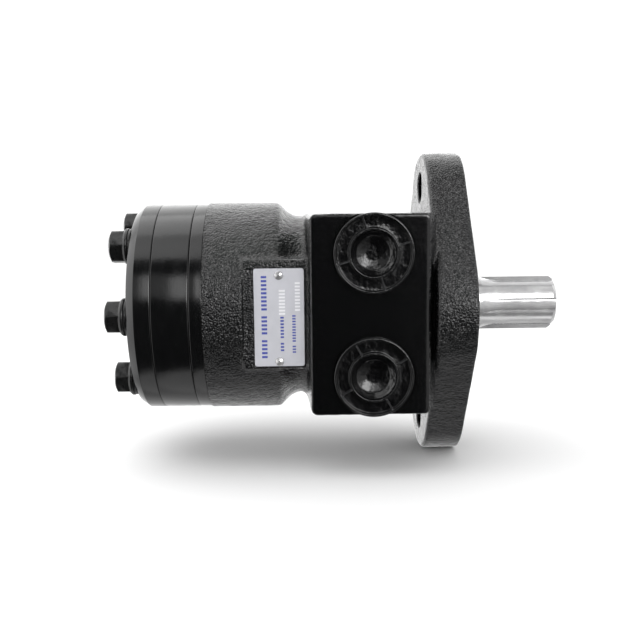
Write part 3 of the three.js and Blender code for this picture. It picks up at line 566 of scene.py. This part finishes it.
def rotor():
    x0, x1 = RING_REAR + 0.15, PLATE_REAR - GAP - 0.15
    blank = prism_x(rotor_outline(), x0, x1)
    hole = prism_x(SPLINE_HOLE, x0 - 1, x1 + 1)
    entries = [
        lathe([(x - d, 0, 0), (x - d, 14.6, 0), (x + 0.8 * d, 12.4, 0), (x + 0.8 * d, 0, 0)])
        for x, d in ((x0, 1), (x1, -1))]
    return moved(cut(blank, [hole] + entries), Matrix.Translation((0, *ROTOR_CENTRE)))


def cardan_shaft():
    """The link between rotor and shaft: crowned teeth, tilted by the rotor's offset."""
    span, half, waist = CARDAN["front"] - CARDAN["rear"], CARDAN["half"], CARDAN["waist_r"]
    core = lathe([
        (-half - 0.4, 0, 0), (-half - 0.4, waist, 0.8), (half, waist + 1, 1.5),
        (half + 3, waist, 4), (span - half - 3, waist, 4), (span - half, waist + 1, 1.5),
        (span + half, waist, 0.8), (span + half, 0, 0),
    ])
    ends = []
    for middle in (0.0, span):
        sections = []
        for i in range(9):
            t = i / 4 - 1
            crown = 1 - 0.045 * t ** 4
            sections.append([(middle + half * t, y * crown, z * crown) for y, z in SPLINE_PLUG])
        ends.append(loft(sections))
    boolean(core, ends, "UNION")
    along = Vector((span, -ROTOR_CENTRE[0], -ROTOR_CENTRE[1]))
    tilt = Vector((1, 0, 0)).rotation_difference(along).to_matrix().to_4x4()
    return moved(core, Matrix.Translation((CARDAN["rear"], *ROTOR_CENTRE)) @ tilt)


def drive_spacer():
    x = RING_REAR + 0.3
    disc = lathe([(x, 0, 0), (x + 2.4, 0, 0), (x + 2.4, 9.0, 0.5), (x, 9.0, 0.5)])
    return moved(disc, Matrix.Translation((0, *ROTOR_CENTRE)))


def end_cover():
    x0, x1, r = COVER_REAR, RING_REAR - GAP, BODY["turned_r"]
    cover = lathe([
        (x0, 0, 0), (x0, r - 2.4, 0.9), (x0 + 3.5, r, 0.8), (x1, r, 0.45), (x1, 0, 0)])
    return cut(cover, bolt_holes(x0 - 1, x1 + 1) + [
        rod((x0 - 1, 0, 0), (x1 + 1, 0, 0), 6.8, facets=MEDIUM),
        rod((x0 - 1, 0, 0), (x0 + 1.6, 0, 0), 8.9, facets=MEDIUM),
    ])


def hexagon(across_flats, twist=0.0):
    return [polar(across_flats / math.sqrt(3), angle) for angle in around(6, twist)]


def hexagon_head(across_flats, x0, x1, twist, chamfer):
    """A hexagon prism whose outer corners are turned off, as bar-turned heads are."""
    prism = prism_x(hexagon(across_flats, twist), x0, x1)
    corner = across_flats / math.sqrt(3)
    sleeve = lathe([
        (x0, 0, 0), (x0, corner - 0.3 - 1.75 * chamfer, 0.3), (x0 + chamfer, corner - 0.22, 0.3),
        (x1, corner - 0.1, 0), (x1, 0, 0),
    ], MEDIUM)
    return boolean(prism, [sleeve], "INTERSECT")


WASHER_BACK = COVER_REAR - GAP - 1.2


def cover_bolt(angle):
    """A bolt with a coned collar under its head."""
    seat = WASHER_BACK - GAP
    shank = lathe([
        (seat - 2.1, 0, 0), (seat - 2.1, 7.2, 0.3), (seat - 1.4, 7.75, 0.35),
        (seat - 1.1, 8.05, 0.3), (seat, 8.05, 0.35), (seat, 3.95, 0), (-98.8, 3.95, 0),
        (-98, 3.2, 0), (-98, 0, 0),
    ], MEDIUM)
    head = hexagon_head(HEX, BOLTS["top"], seat - 2.0, math.radians(9), 0.95)
    boolean(shank, [head], "UNION")
    return moved(shank, Matrix.Translation((0, *polar(BOLTS["circle_r"], angle))))


def bolt_washer(angle):
    x0, x1 = WASHER_BACK, COVER_REAR - GAP
    ring = lathe([(x0, 4.3, 0.1), (x1, 4.3, 0.1), (x1, 7.8, 0.25), (x0, 7.8, 0.35)], MEDIUM)
    return moved(ring, Matrix.Translation((0, *polar(BOLTS["circle_r"], angle))))


def drain_plug():
    seat = COVER_REAR - GAP
    stem = lathe([
        (seat - 1.4, 0, 0), (seat - 1.4, 9.5, 0.4), (seat, 9.5, 0.3), (seat, 6.5, 0),
        (-135.6, 6.5, 0), (-135, 5.9, 0), (-135, 0, 0),
    ], MEDIUM)
    return boolean(stem, [hexagon_head(HEX, seat - 5.9, seat - 1.3, 0.0, 0.8)], "UNION")


# ---- shaft end


def front_cover():
    cover = lathe([
        (PILOT_HEIGHT, 17.6, 0.3), (-0.8, 17.6, 0), (-0.8, 13.6, 0.2), (-3.2, 13.6, 0.2),
        (-3.2, 20.8, 0), (-12.3, 20.8, 0.3), (-12.3, 22.4, 0.3), (-9.75, 22.4, 0),
        (-9.75, 21.1, 0), (-8.25, 21.1, 0), (-8.25, 22.4, 0), (SEAT + GAP, 22.4, 0),
        (SEAT + GAP, COVER_R, 0.2), (0, COVER_R, 0.4), (0, PILOT_R, 0.3),
        (PILOT_HEIGHT, PILOT_R, 0.6),
    ])
    tools = []
    for angle in SCREW_ANGLES:
        y, z = polar(SCREWS["circle_r"], angle)
        tools += [
            rod((SEAT - 1, y, z), (1, y, z), 3.0),
            rod((1.0, y, z), (-5.5, y, z), 6.5, 0.01, MEDIUM),
        ]
    return cut(cover, tools)


def cover_screw(angle):
    """A countersunk screw with a hexagon socket."""
    top, tip, head, shank = -0.15, SCREWS["tip"], SCREWS["head_r"], SCREWS["shank_r"]
    screw = lathe([
        (tip, 0, 0), (tip, shank - 0.6, 0), (tip + 0.6, shank, 0),
        (top - head + shank, shank, 0.3), (top - 0.3, head - 0.3, 0), (top, head - 0.3, 0.1),
        (top, 0, 0),
    ], MEDIUM)
    socket = prism_x(hexagon(3.7), top - 2.2, 1)
    return moved(cut(screw, [socket]), Matrix.Translation((0, *polar(SCREWS["circle_r"], angle))))


def shaft_seal():
    return lathe([
        (-10.2, 20.5, 0.3), (-3.5, 20.5, 0.3), (-3.5, 17.0, 0.2), (-5.9, 14.6, 0.2),
        (-8.3, 16.0, 0.3), (-5.9, 17.0, 0.3), (-4.9, 17.4, 0.2), (-4.9, 19.1, 0.3),
        (-10.2, 19.1, 0.3),
    ])


def dust_seal():
    return lathe([
        (-0.6, 17.4, 0.1), (-0.6, 14.4, 0.1), (0.7, 14.2, 0.3), (2.5, 13.05, 0.1), (1.4, 14.5, 0.3),
        (1.2, 17.4, 0.2),
    ])


def race(x0, x1):
    inner, outer, ease = BEARING["inner_r"], BEARING["outer_r"], 0.15
    return lathe([(x0, inner, ease), (x1, inner, ease), (x1, outer, ease), (x0, outer, ease)])


def needle_cage():
    cage = lathe([
        (-15.45, 14.8, 0.2), (-14.05, 14.8, 0.2), (-14.05, 22.0, 0.2), (-15.45, 22.0, 0.2)])
    needles, x = [], BEARING["middle"]
    for angle in around(16):
        needles.append(rod((x, *polar(15.8, angle)), (x, *polar(21.2, angle)), 1.3, facets=24))
    return boolean(cage, needles, "UNION")


def spline_space(angle, floor_r, x):
    """One cross-section of the space between two parallel-sided teeth, at x."""
    half_tooth, half_pitch = SPLINE["width"] / 2, math.pi / SPLINE["teeth"]
    outer = SPLINE["r"] + OVERCUT

    def flank(r):
        return half_pitch - math.asin(half_tooth / r)

    loop = [polar(outer, angle - flank(outer)), polar(outer, angle + flank(outer))]
    loop += [polar(floor_r, angle + flank(floor_r) * (1 - i / 6)) for i in range(13)]
    return [(x, y, z) for y, z in loop]


def spline_cutter(angle):
    """A milled tooth space: full depth to its start, then an arc up to the outside of the shaft."""
    full, run_out, cutter_r = 21.7, 10.4, 34.0
    sections = [spline_space(angle, SPLINE["root_r"], SHAFT_END + 1)]
    for i in range(15):
        x = full - (full - run_out) * i / 14
        lift = cutter_r - math.sqrt(cutter_r ** 2 - (full - x) ** 2)
        sections.append(spline_space(angle, SPLINE["root_r"] + lift, x))
    return loft(sections)


def slot_cutter(angle, x0, x1):
    """One of the spool's timing slots, milled along it."""
    floor_r, half = 15.9, 1.7
    outline = [(-20.0, -half), (-floor_r, -half), (-floor_r, half), (-20.0, half)]
    return moved(prism_x(outline, x0, x1), Matrix.Rotation(-angle, 4, "X"))


def output_shaft():
    r = SPLINE["r"]
    shaft = lathe([
        (-96, 0, 0), (-96, SPOOL["r"], 0.6), (-17.2, SPOOL["r"], 0.4), (-17.2, 14.25, 0.2),
        (-3.4, 14.25, 0.4), (-3.4, r, 0.2), (SHAFT_END - 1.8, r, 0.2), (SHAFT_END, r - 1.3, 0.3),
        (SHAFT_END, 0, 0),
    ])
    pitch = math.pi / SPLINE["teeth"]
    tools = [spline_cutter(a) for a in around(SPLINE["teeth"], SPLINE["first"] + pitch)]
    for x in SPOOL["galleries"]:
        x0, x1 = x - SPOOL["gallery_half"], x + SPOOL["gallery_half"]
        tools.append(lathe([(x0, 15.5, 0), (x1, 15.5, 0), (x1, 19, 0), (x0, 19, 0)]))
    tools += [slot_cutter(a, -58.2, -30.0) for a in around(6)]
    tools += [slot_cutter(a, -66.0, -50.8) for a in around(6, math.pi / 6)]
    tools += [
        rod((-97, 0, 0), (-81.5, 0, 0), 13.3, facets=MEDIUM),
        rod((-68.5, 0, 0), (-66, 0, 0), 13.3, facets=MEDIUM),
        prism_x(SPLINE_HOLE, -82.5, -67.5),
    ]
    return cut(shaft, tools)


def check_ball(angle):
    r, steps = CHECKS["ball_r"], 24
    turns = [math.pi * i / steps for i in range(1, steps)]
    arc = [(-r, 0, 0)] + [(-r * math.cos(t), r * math.sin(t), 0) for t in turns] + [(r, 0, 0)]
    ball = lathe(arc, 48)
    return moved(ball, Matrix.Translation((CHECKS["ball_x"], *polar(CHECKS["circle_r"], angle))))


# ---- ports and nameplate


def facing_port(x, z):
    """Turns a shape made along +X so that it points out of a port at (x, z)."""
    return Matrix.Translation((x, 0, z)) @ Matrix.Rotation(-math.pi / 2, 4, "Z")


def port_plug(z, turn):
    """A moulded transport plug: rimmed head, ribbed trough, hollow threaded stem."""
    seat = -BLOCK["face"] - PORT["spot_depth"] + GAP
    top = -BLOCK["face"] + 2.2
    cup = lathe([
        (seat - 11, 0, 0), (seat - 11, 9.9, 0.5), (seat, 9.9, 0), (seat, 16.4, 0.15),
        (top, 16.4, 0.5), (top, 15.35, 0.4), (top - 1.5, 15.1, 0.4), (top - 1.5, 10.5, 0.4),
        (top - 0.1, 10.25, 0.35), (top - 0.1, 9.45, 0.35), (top - 1.4, 9.0, 0.6),
        (top - 3.5, 6.9, 2.0), (top - 4.8, 3.2, 4.0), (top - 4.9, 0, 0),
    ])
    half, low, high = 0.34, top - 2.0, top - 0.2
    section = [(low, -half), (high - 0.25, -half * 0.8), (high, -half * 0.3),
               (high, half * 0.3), (high - 0.25, half * 0.8), (low, half)]
    ribs = []
    for angle in around(4, turn):
        rib = loft([[(x, y, w) for x, w in section] for y in (9.9, 15.6)])
        ribs.append(moved(rib, Matrix.Rotation(angle, 4, "X")))
    boolean(cup, ribs, "UNION")
    return moved(cup, facing_port(PORT["x"], z))


def rounded_rectangle(u0, u1, v0, v1, r):
    return filleted([(u0, v0, r), (u1, v0, r), (u1, v1, r), (u0, v1, r)], 6)


def nameplate():
    back = PAD["face"] - GAP
    r0, r1, z0, z1 = PLATE["rear"], PLATE["front"], PLATE["bottom"], PLATE["top"]
    layers = ((back, 0.0), (back - 0.38, 0.0), (back - PLATE["thickness"], 0.12))
    plate = loft([
        [(x, y, z) for x, z in rounded_rectangle(r0 + e, r1 - e, z0 + e, z1 - e, 1.0)]
        for y, e in layers
    ])
    x = RIVETS["x"]
    return cut(plate, [
        rod((x, back - 2, z), (x, back + 2, z), RIVETS["hole_r"]) for z in RIVETS["zs"]])


def plate_rivet(z):
    face = -PAD["face"] + 2 * GAP + PLATE["thickness"]
    rivet = lathe([
        (face - 2.8, 0, 0), (face - 2.8, 0.9, 0.2), (face, 0.9, 0), (face, 1.9, 0.08),
        (face + 0.45, 1.6, 0.4), (face + 0.9, 0.5, 0.4), (face + 0.9, 0, 0),
    ], SMALL)
    return moved(rivet, facing_port(RIVETS["x"], z))


def printed_row(x0, x1, top, pitch, groups):
    """A row of plain blocks down the plate, in groups, in place of printed characters."""
    blocks, z = [], top
    for count in groups:
        for _ in range(count):
            blocks.append((x0, x1, z - 0.56 * pitch, z))
            z -= pitch
        z -= pitch
    return blocks


def plate_print(bars):
    """Flat rectangles a hundredth of a millimetre proud of the plate."""
    back = PAD["face"] - GAP - PLATE["thickness"]
    points, faces = [], []
    for x0, x1, z0, z1 in bars:
        first = len(points)
        for y in (back + 0.02, back - 0.012):
            points += [(x0, y, z0), (x1, y, z0), (x1, y, z1), (x0, y, z1)]
        faces += [tuple(first + i for i in side) for side in (
            (0, 1, 2, 3), (4, 5, 6, 7), (0, 1, 5, 4), (1, 2, 6, 5), (2, 3, 7, 6), (3, 0, 4, 7))]
    return new_object(points, faces)


# ---- materials


class Nodes:
    """The emptied node tree of a material or a world, and short ways to fill it."""

    def __init__(self, owner):
        owner.use_nodes = True
        self.tree = owner.node_tree
        self.tree.nodes.clear()

    def add(self, kind, inputs=None, **settings):
        node = self.tree.nodes.new(kind)
        for key, value in settings.items():
            setattr(node, key, value)
        for key, value in (inputs or {}).items():
            if isinstance(value, bpy.types.NodeSocket):
                self.tree.links.new(value, node.inputs[key])
            else:
                node.inputs[key].default_value = value
        return node

    def times(self, a, b):
        return self.add("ShaderNodeMath", {0: a, 1: b}, operation="MULTIPLY").outputs[0]

    def larger(self, a, b):
        return self.add("ShaderNodeMath", {0: a, 1: b}, operation="MAXIMUM").outputs[0]

    def spread(self, value, low, high, out_low, out_high, **settings):
        """The value's range low to high, mapped to another range and held at its ends."""
        return self.add("ShaderNodeMapRange", {
            "Value": value, "From Min": low, "From Max": high, "To Min": out_low,
            "To Max": out_high}, **settings).outputs[0]


class Surface(Nodes):
    """A node material whose patterns are measured in millimetres on the piece."""

    def __init__(self, name):
        self.material = bpy.data.materials.new(name)
        super().__init__(self.material)
        place = self.add("ShaderNodeTexCoord").outputs["Object"]
        self.position = self.add(
            "ShaderNodeVectorMath", {0: place, "Scale": 1 / MM}, operation="SCALE").outputs[0]

    def stretched(self, x, y, z):
        """The position with each axis shrunk or stretched, so that a pattern runs along it."""
        inputs = {0: self.position, 1: (x, y, z)}
        return self.add("ShaderNodeVectorMath", inputs, operation="MULTIPLY").outputs[0]

    def turned(self):
        """A position that only knows the distance along and around the shaft, for tool rings."""
        parts = self.add("ShaderNodeSeparateXYZ", {0: self.position})
        flat = self.add("ShaderNodeCombineXYZ", {0: parts.outputs[1], 1: parts.outputs[2]})
        r = self.add("ShaderNodeVectorMath", {0: flat.outputs[0]}, operation="LENGTH")
        together = {0: parts.outputs[0], 1: r.outputs["Value"]}
        return self.add("ShaderNodeCombineXYZ", together).outputs[0]

    def noise(self, size, detail=2.0, rough=0.5, where=None):
        """Noise from 0 to 1 whose largest features are about the given size."""
        return self.add("ShaderNodeTexNoise", {
            "Vector": where or self.position, "Scale": 1 / size, "Detail": detail,
            "Roughness": rough}).outputs[0]

    def tint(self, value, dark, light):
        """A colour that runs from the first to the second as the value runs from 0 to 1."""
        return self.add(
            "ShaderNodeMix", {0: value, 6: (*dark, 1), 7: (*light, 1)}, data_type="RGBA").outputs[2]

    def bump(self, height, depth, under=None):
        inputs = {"Height": height, "Distance": depth * MM, "Strength": 1.0}
        if under:
            inputs["Normal"] = under
        return self.add("ShaderNodeBump", inputs).outputs[0]

    def edges(self, reach):
        """0 on open faces, rising towards 1 at edges that stand proud."""
        soft = self.add("ShaderNodeBevel", {"Radius": reach * MM}, samples=4).outputs[0]
        flat = self.add("ShaderNodeNewGeometry").outputs["Normal"]
        dot = self.add("ShaderNodeVectorMath", {0: soft, 1: flat}, operation="DOT_PRODUCT")
        return self.spread(dot.outputs["Value"], 0.97, 0.80, 0.0, 1.0)

    def done(self, **inputs):
        names = dict(color="Base Color", metal="Metallic", rough="Roughness", normal="Normal",
                     gloss="Specular IOR Level")
        shader = self.add("ShaderNodeBsdfPrincipled", {names[k]: v for k, v in inputs.items()})
        self.add("ShaderNodeOutputMaterial", {0: shader.outputs[0]})
        return self.material


ENAMEL = (0.0025, 0.0026, 0.0028)  # the paint's black


def cast_enamel():
    """Black gloss enamel pooled over a sand-cast skin: leathery wrinkles with glints on them."""
    s = Surface("painted_casting")
    grain = s.noise(0.8, 1.0, 0.5)
    swell = s.noise(2.6, 2.0, 0.5)
    normal = s.bump(swell, 0.4)
    normal = s.bump(grain, 0.58, normal)
    patches = s.noise(14.0, 3.0, 0.6)
    return s.done(
        color=s.tint(patches, ENAMEL, (0.006, 0.0062, 0.0065)),
        rough=s.spread(patches, 0.3, 0.7, 0.10, 0.18), normal=normal)


def smooth_enamel():
    """Enamel over machined faces: nearly flat, with a faint orange peel."""
    s = Surface("painted_face")
    normal = s.bump(s.noise(9.0, 2.0), 0.12)
    normal = s.bump(s.noise(1.6, 2.0), 0.012, normal)
    specks = s.noise(0.8, 1.0)
    return s.done(
        color=(*ENAMEL, 1), rough=s.spread(specks, 0.3, 0.75, 0.12, 0.18), normal=normal)


def turned_enamel():
    """Enamel over lathe-turned rims, the tool rings just showing through."""
    s = Surface("painted_turned")
    rings = s.noise(0.9, 3.0, 0.6, where=s.turned())
    normal = s.bump(s.noise(12.0, 2.0), 0.1)
    normal = s.bump(rings, 0.02, normal)
    normal = s.bump(s.noise(1.3, 2.0), 0.02, normal)
    smears = s.noise(3.0, 3.0, 0.6, where=s.stretched(1.0, 0.25, 0.25))
    return s.done(
        color=s.tint(smears, ENAMEL, (0.005, 0.0052, 0.0055)),
        rough=s.spread(smears, 0.3, 0.7, 0.12, 0.2), normal=normal)


def steel(name, light, dark, rough, metal, depth=0.012):
    """Turned or ground steel: fine rings, smudged oil and a duller tone along the smudges."""
    s = Surface(name)
    rings = s.noise(0.5, 3.0, 0.7, where=s.turned())
    streaks = s.noise(2.2, 3.0, 0.6, where=s.stretched(0.25, 1.4, 1.4))
    smudge = s.noise(6.0, 3.0, 0.6)
    return s.done(
        color=s.tint(s.spread(s.times(streaks, smudge), 0.12, 0.4, 0.0, 1.0), dark, light),
        metal=metal, rough=s.spread(smudge, 0.3, 0.7, rough - 0.06, rough + 0.08),
        normal=s.bump(s.noise(0.35, 2.0), 0.6 * depth, s.bump(rings, depth)))


def black_fastener():
    """Black-coated forged steel, thin at the corners."""
    s = Surface("black_fastener")
    scale = s.noise(0.9, 3.0, 0.6)
    worn = s.times(s.edges(0.22), s.spread(s.noise(1.1, 3.0, 0.7), 0.45, 0.75, 0.0, 0.8))
    return s.done(
        color=s.tint(worn, (0.004, 0.0041, 0.0043), (0.11, 0.11, 0.11)),
        metal=s.spread(worn, 0.0, 1.0, 0.0, 0.6), rough=s.spread(scale, 0.3, 0.7, 0.24, 0.42),
        normal=s.bump(scale, 0.05, s.bump(s.noise(3.5, 2.0), 0.25)))


def rubber(name, dark, light):
    """Moulded rubber with a little dust on it."""
    s = Surface(name)
    dust = s.noise(1.4, 3.0, 0.6)
    return s.done(color=s.tint(dust, dark, light), rough=s.spread(dust, 0.3, 0.7, 0.55, 0.75),
                  normal=s.bump(s.noise(0.4, 2.0), 0.02))


def plug_plastic():
    """Moulded polyethylene with faint flow marks and scuffs."""
    s = Surface("plug_plastic")
    scuffs = s.noise(1.0, 3.0, 0.6, where=s.stretched(1.0, 1.0, 0.3))
    whitened = s.times(s.edges(0.35), s.spread(scuffs, 0.3, 0.6, 0.35, 1.0))
    return s.done(
        color=s.tint(whitened, (0.0025, 0.0025, 0.0028), (0.15, 0.15, 0.155)),
        rough=s.spread(scuffs, 0.3, 0.75, 0.12, 0.26),
        normal=s.bump(s.noise(3.2, 2.0), 0.35, s.bump(scuffs, 0.01)))


def plate_foil(name, light, dark, rough=0.42):
    """Satin aluminium foil: a fine rolled grain and a slight waviness."""
    s = Surface(name)
    grain = s.noise(0.6, 3.0, 0.7, where=s.stretched(1.0, 1.0, 0.08))
    blotch = s.noise(5.0, 3.0, 0.6)
    return s.done(
        color=s.tint(blotch, dark, light), metal=0.2,
        rough=s.spread(grain, 0.3, 0.7, rough - 0.06, rough + 0.08),
        normal=s.bump(grain, 0.012, s.bump(s.noise(7.0, 1.0), 0.15)))


def print_ink(name, dense, thin):
    """Printing ink, a little worn."""
    s = Surface(name)
    wear = s.noise(0.5, 3.0, 0.7)
    return s.done(color=s.tint(s.spread(wear, 0.45, 0.85, 0.0, 1.0), dense, thin), rough=0.45,
                  normal=s.bump(wear, 0.006))


# ---- the motor

cast, face_paint, turned_paint = cast_enamel(), smooth_enamel(), turned_enamel()
bright = steel("bright_steel", (0.68, 0.68, 0.68), (0.50, 0.50, 0.505), 0.18, 0.72)
machined = steel("machined_bore", (0.42, 0.42, 0.43), (0.24, 0.24, 0.25), 0.40, 0.9)
hard = steel("hardened_steel", (0.42, 0.43, 0.45), (0.27, 0.28, 0.30), 0.32, 0.95, 0.006)
fastener = black_fastener()
nitrile = rubber("nitrile", (0.008, 0.008, 0.008), (0.022, 0.022, 0.022))
brown_rubber = rubber("seal_rubber", (0.075, 0.024, 0.011), (0.13, 0.046, 0.022))
plastic = plug_plastic()
foil = plate_foil("plate_aluminium", (0.56, 0.56, 0.60), (0.48, 0.485, 0.52))
stamped = plate_foil("plate_stamping", (0.80, 0.80, 0.82), (0.70, 0.70, 0.73), 0.5)
blue_ink = print_ink("plate_ink", (0.03, 0.045, 0.30), (0.16, 0.19, 0.46))

stand_in(housing((cast, face_paint, machined)), "housing", "painted_casting", None, sharp=38.0)
stand_in(spacer_plate(), "spacer_plate", "painted_turned", turned_paint)
stand_in(stator_ring(), "stator_ring", "painted_turned", turned_paint)
stand_in(end_cover(), "end_cover", "painted_turned", turned_paint)
for i, angle in enumerate(BOLT_ANGLES, 1):
    stand_in(cover_bolt(angle), f"end_cover_bolt_{i}", "black_fastener", fastener)
    stand_in(bolt_washer(angle), f"bolt_washer_{i}", "black_fastener", fastener)
stand_in(drain_plug(), "drain_plug", "black_fastener", fastener)

stand_in(front_cover(), "front_cover", "bright_steel", bright)
for i, angle in enumerate(SCREW_ANGLES, 1):
    stand_in(cover_screw(angle), f"front_cover_screw_{i}", "black_fastener", fastener)
stand_in(shaft_seal(), "shaft_seal", "seal_rubber", brown_rubber)
stand_in(dust_seal(), "dust_seal", "nitrile", nitrile)

face_ring = (FACE_RING["circle_r"], FACE_RING["section_r"])
for node, x, circle_r, section_r in (
        ("front_cover_o_ring", -9.0, 21.9, 0.6),
        ("drain_plug_o_ring", -143.2, 7.9, 0.75),
        ("housing_o_ring", BODY["rear"] + 0.95, *face_ring),
        ("stator_o_ring_front", PLATE_REAR - GAP - 0.95, *face_ring),
        ("stator_o_ring_rear", RING_REAR + 0.95, *face_ring)):
    stand_in(torus(x, circle_r, section_r), node, "nitrile", nitrile)

stand_in(output_shaft(), "output_shaft", "bright_steel", bright, "shaft")
for piece, node, body in (
        (race(-13.35, -12.4), "thrust_race_front", MOTOR),
        (race(-17.15, -16.2), "thrust_race_rear", "shaft"),
        (needle_cage(), "thrust_needle_cage", "needle_cage"),
        (drive_spacer(), "drive_spacer", "drive_spacer"),
        (rotor(), "rotor", "rotor"),
        (cardan_shaft(), "cardan_shaft", "cardan")):
    stand_in(piece, node, "hardened_steel", hard, body)
for i, angle in enumerate(CHECKS["angles"], 1):
    ball = f"check_ball_{i}"
    stand_in(check_ball(angle), ball, "bright_steel", bright, ball)

for plug, z, turn in (("port_plug_a", PORT["z"], 17), ("port_plug_b", -PORT["z"], 29)):
    stand_in(port_plug(z, math.radians(turn)), plug, "plug_plastic", plastic, plug)

stand_in(nameplate(), "nameplate", "plate_aluminium", foil)
for i, z in enumerate(RIVETS["zs"], 1):
    stand_in(plate_rivet(z), f"nameplate_rivet_{i}", "bright_steel", bright)
ink = printed_row(-88.2, -85.9, 16.3, 1.66, (9, 5, 5))
ink += printed_row(-80.4, -79.0, -0.6, 1.36, (7, 3))
ink += printed_row(-75.5, -74.1, 0.0, 1.16, (10, 3))
relief = printed_row(-80.9, -78.4, 10.5, 1.36, (8,))
relief += printed_row(-74.3, -72.2, 13.6, 1.38, (9,))
finish(plate_print(ink), "nameplate_ink", "plate_aluminium", blue_ink)
finish(plate_print(relief), "nameplate_relief", "plate_aluminium", stamped)

# ---- floor, light and camera

FLOOR = -0.0686  # metres: the foot of the flange stands on it


def floor():
    """Pale paper that takes shadows, but is not mirrored in the paint."""
    mesh = bpy.data.meshes.new("floor")
    reach = 6.0
    corners = ((-reach, -reach), (reach, -reach), (reach, reach), (-reach, reach))
    mesh.from_pydata([(x, y, FLOOR) for x, y in corners], [], [(0, 1, 2, 3)])
    piece = linked("floor", mesh)
    s = Surface("floor_paper")
    paper = s.tint(s.noise(60.0, 3.0), (0.86, 0.86, 0.86), (0.89, 0.89, 0.89))
    mesh.materials.append(s.done(color=paper, rough=0.9, gloss=0.1))
    piece.visible_glossy = False


def soft_light(name, place, width, height, radiance):
    """A flat soft box of even brightness, facing down."""
    data = bpy.data.lights.new(name, "AREA")
    data.shape, data.size, data.size_y = "RECTANGLE", width, height
    data.energy = radiance * math.pi * width * height
    linked(name, data).location = place


WHITE = 1.15  # brightness of the background, and of the light that reaches matt surfaces


def surroundings():
    """A white studio, and the dark room with windows that gloss paint and steel mirror in it.

    The mirrored brightness depends on where a reflection heads: x to the shaft's end, y away from
    the camera, z up. The brightest thing in each direction counts.
    """
    world = bpy.data.worlds.new("studio")
    bpy.context.scene.world = world
    nodes = Nodes(world)
    world.cycles.sampling_method = "NONE"
    times, larger = nodes.times, nodes.larger

    def ramp(value, start, end, low, high):
        return nodes.spread(value, start, end, low, high, interpolation_type="SMOOTHSTEP")

    heading = nodes.add("ShaderNodeTexCoord").outputs["Generated"]
    x, y, z = nodes.add("ShaderNodeSeparateXYZ", {0: heading}).outputs
    # the white sweep behind the object, the bright left wall, the floor and the dim ceiling
    behind = times(ramp(y, -0.05, 0.05, 0.0, 1.0), ramp(y, 0.1, 1.0, 0.95, 2.1))
    behind = times(behind, ramp(z, -0.5, -0.1, 0.5, 1.0))
    left = times(ramp(x, -0.55, -0.85, 0.0, 2.4), ramp(z, -0.4, 0.2, 0.6, 1.0))
    under = ramp(z, -0.90, -0.97, 0.0, 0.9)
    ceiling = ramp(z, 0.72, 0.9, 0.0, 0.28)
    # two windows in the dark side: one facing the middle of the motor, one facing its shaft end
    low_band = times(ramp(z, 0.14, 0.32, 0.0, 1.0), ramp(z, 0.54, 0.68, 1.0, 0.0))
    low_window = times(low_band, ramp(x, -0.22, -0.05, 0.55, 2.6))
    low_window = times(low_window, ramp(x, 0.0, 0.12, 1.0, 0.2))
    side_band = times(ramp(z, 0.06, 0.20, 0.0, 1.0), ramp(z, 0.46, 0.62, 1.0, 0.0))
    side_far = times(ramp(x, 0.29, 0.38, 0.3, 1.0), ramp(x, 0.5, 0.7, 1.0, 0.2))
    side_dip = larger(ramp(x, 0.20, 0.25, 1.0, 0.3), side_far)
    side_window = times(times(side_band, side_dip), ramp(x, 0.10, 0.18, 0.0, 9.5))
    # the wall past the shaft's end: brighter with height, brightest where it meets the floor
    side_height = larger(ramp(z, -0.65, -0.05, 0.12, 0.8), ramp(z, -0.78, -0.88, 0.0, 1.5))
    side_glow = times(ramp(x, 0.19, 0.27, 0.003, 1.0), side_height)
    front = larger(larger(low_window, side_window), larger(ceiling, side_glow))
    front = times(front, ramp(y, -0.35, -0.05, 1.0, 0.0))
    mirrored = larger(larger(behind, left), larger(under, front))
    glossy = nodes.add("ShaderNodeLightPath").outputs["Is Glossy Ray"]
    shown = nodes.add("ShaderNodeMix", {0: glossy, 2: WHITE, 3: mirrored}, data_type="FLOAT")
    light = nodes.add("ShaderNodeBackground", {"Color": (1, 1, 1, 1), "Strength": shown.outputs[0]})
    nodes.add("ShaderNodeOutputWorld", {0: light.outputs[0]})


floor()
surroundings()
soft_light("overhead", Vector((-0.72, 0.0, 0.95)), 1.34, 1.25, 1.5)

camera = linked("camera", bpy.data.cameras.new("camera"))
camera.data.sensor_width = 36.0
camera.data.lens = 44.63
camera.data.clip_start, camera.data.clip_end = 0.01, 30.0
forward = Vector((0.02182932, 0.99208171, -0.12368247))
upward = Vector((0.01271807, 0.12342638, 0.99227223))
axes = Matrix((forward.cross(upward), upward, -forward)).transposed()
camera.matrix_world = Matrix.Translation((-0.1162, -0.3698, 0.0384)) @ axes.to_4x4()
bpy.context.scene.camera = camera
bpy.context.scene.view_settings.view_transform = "Standard"
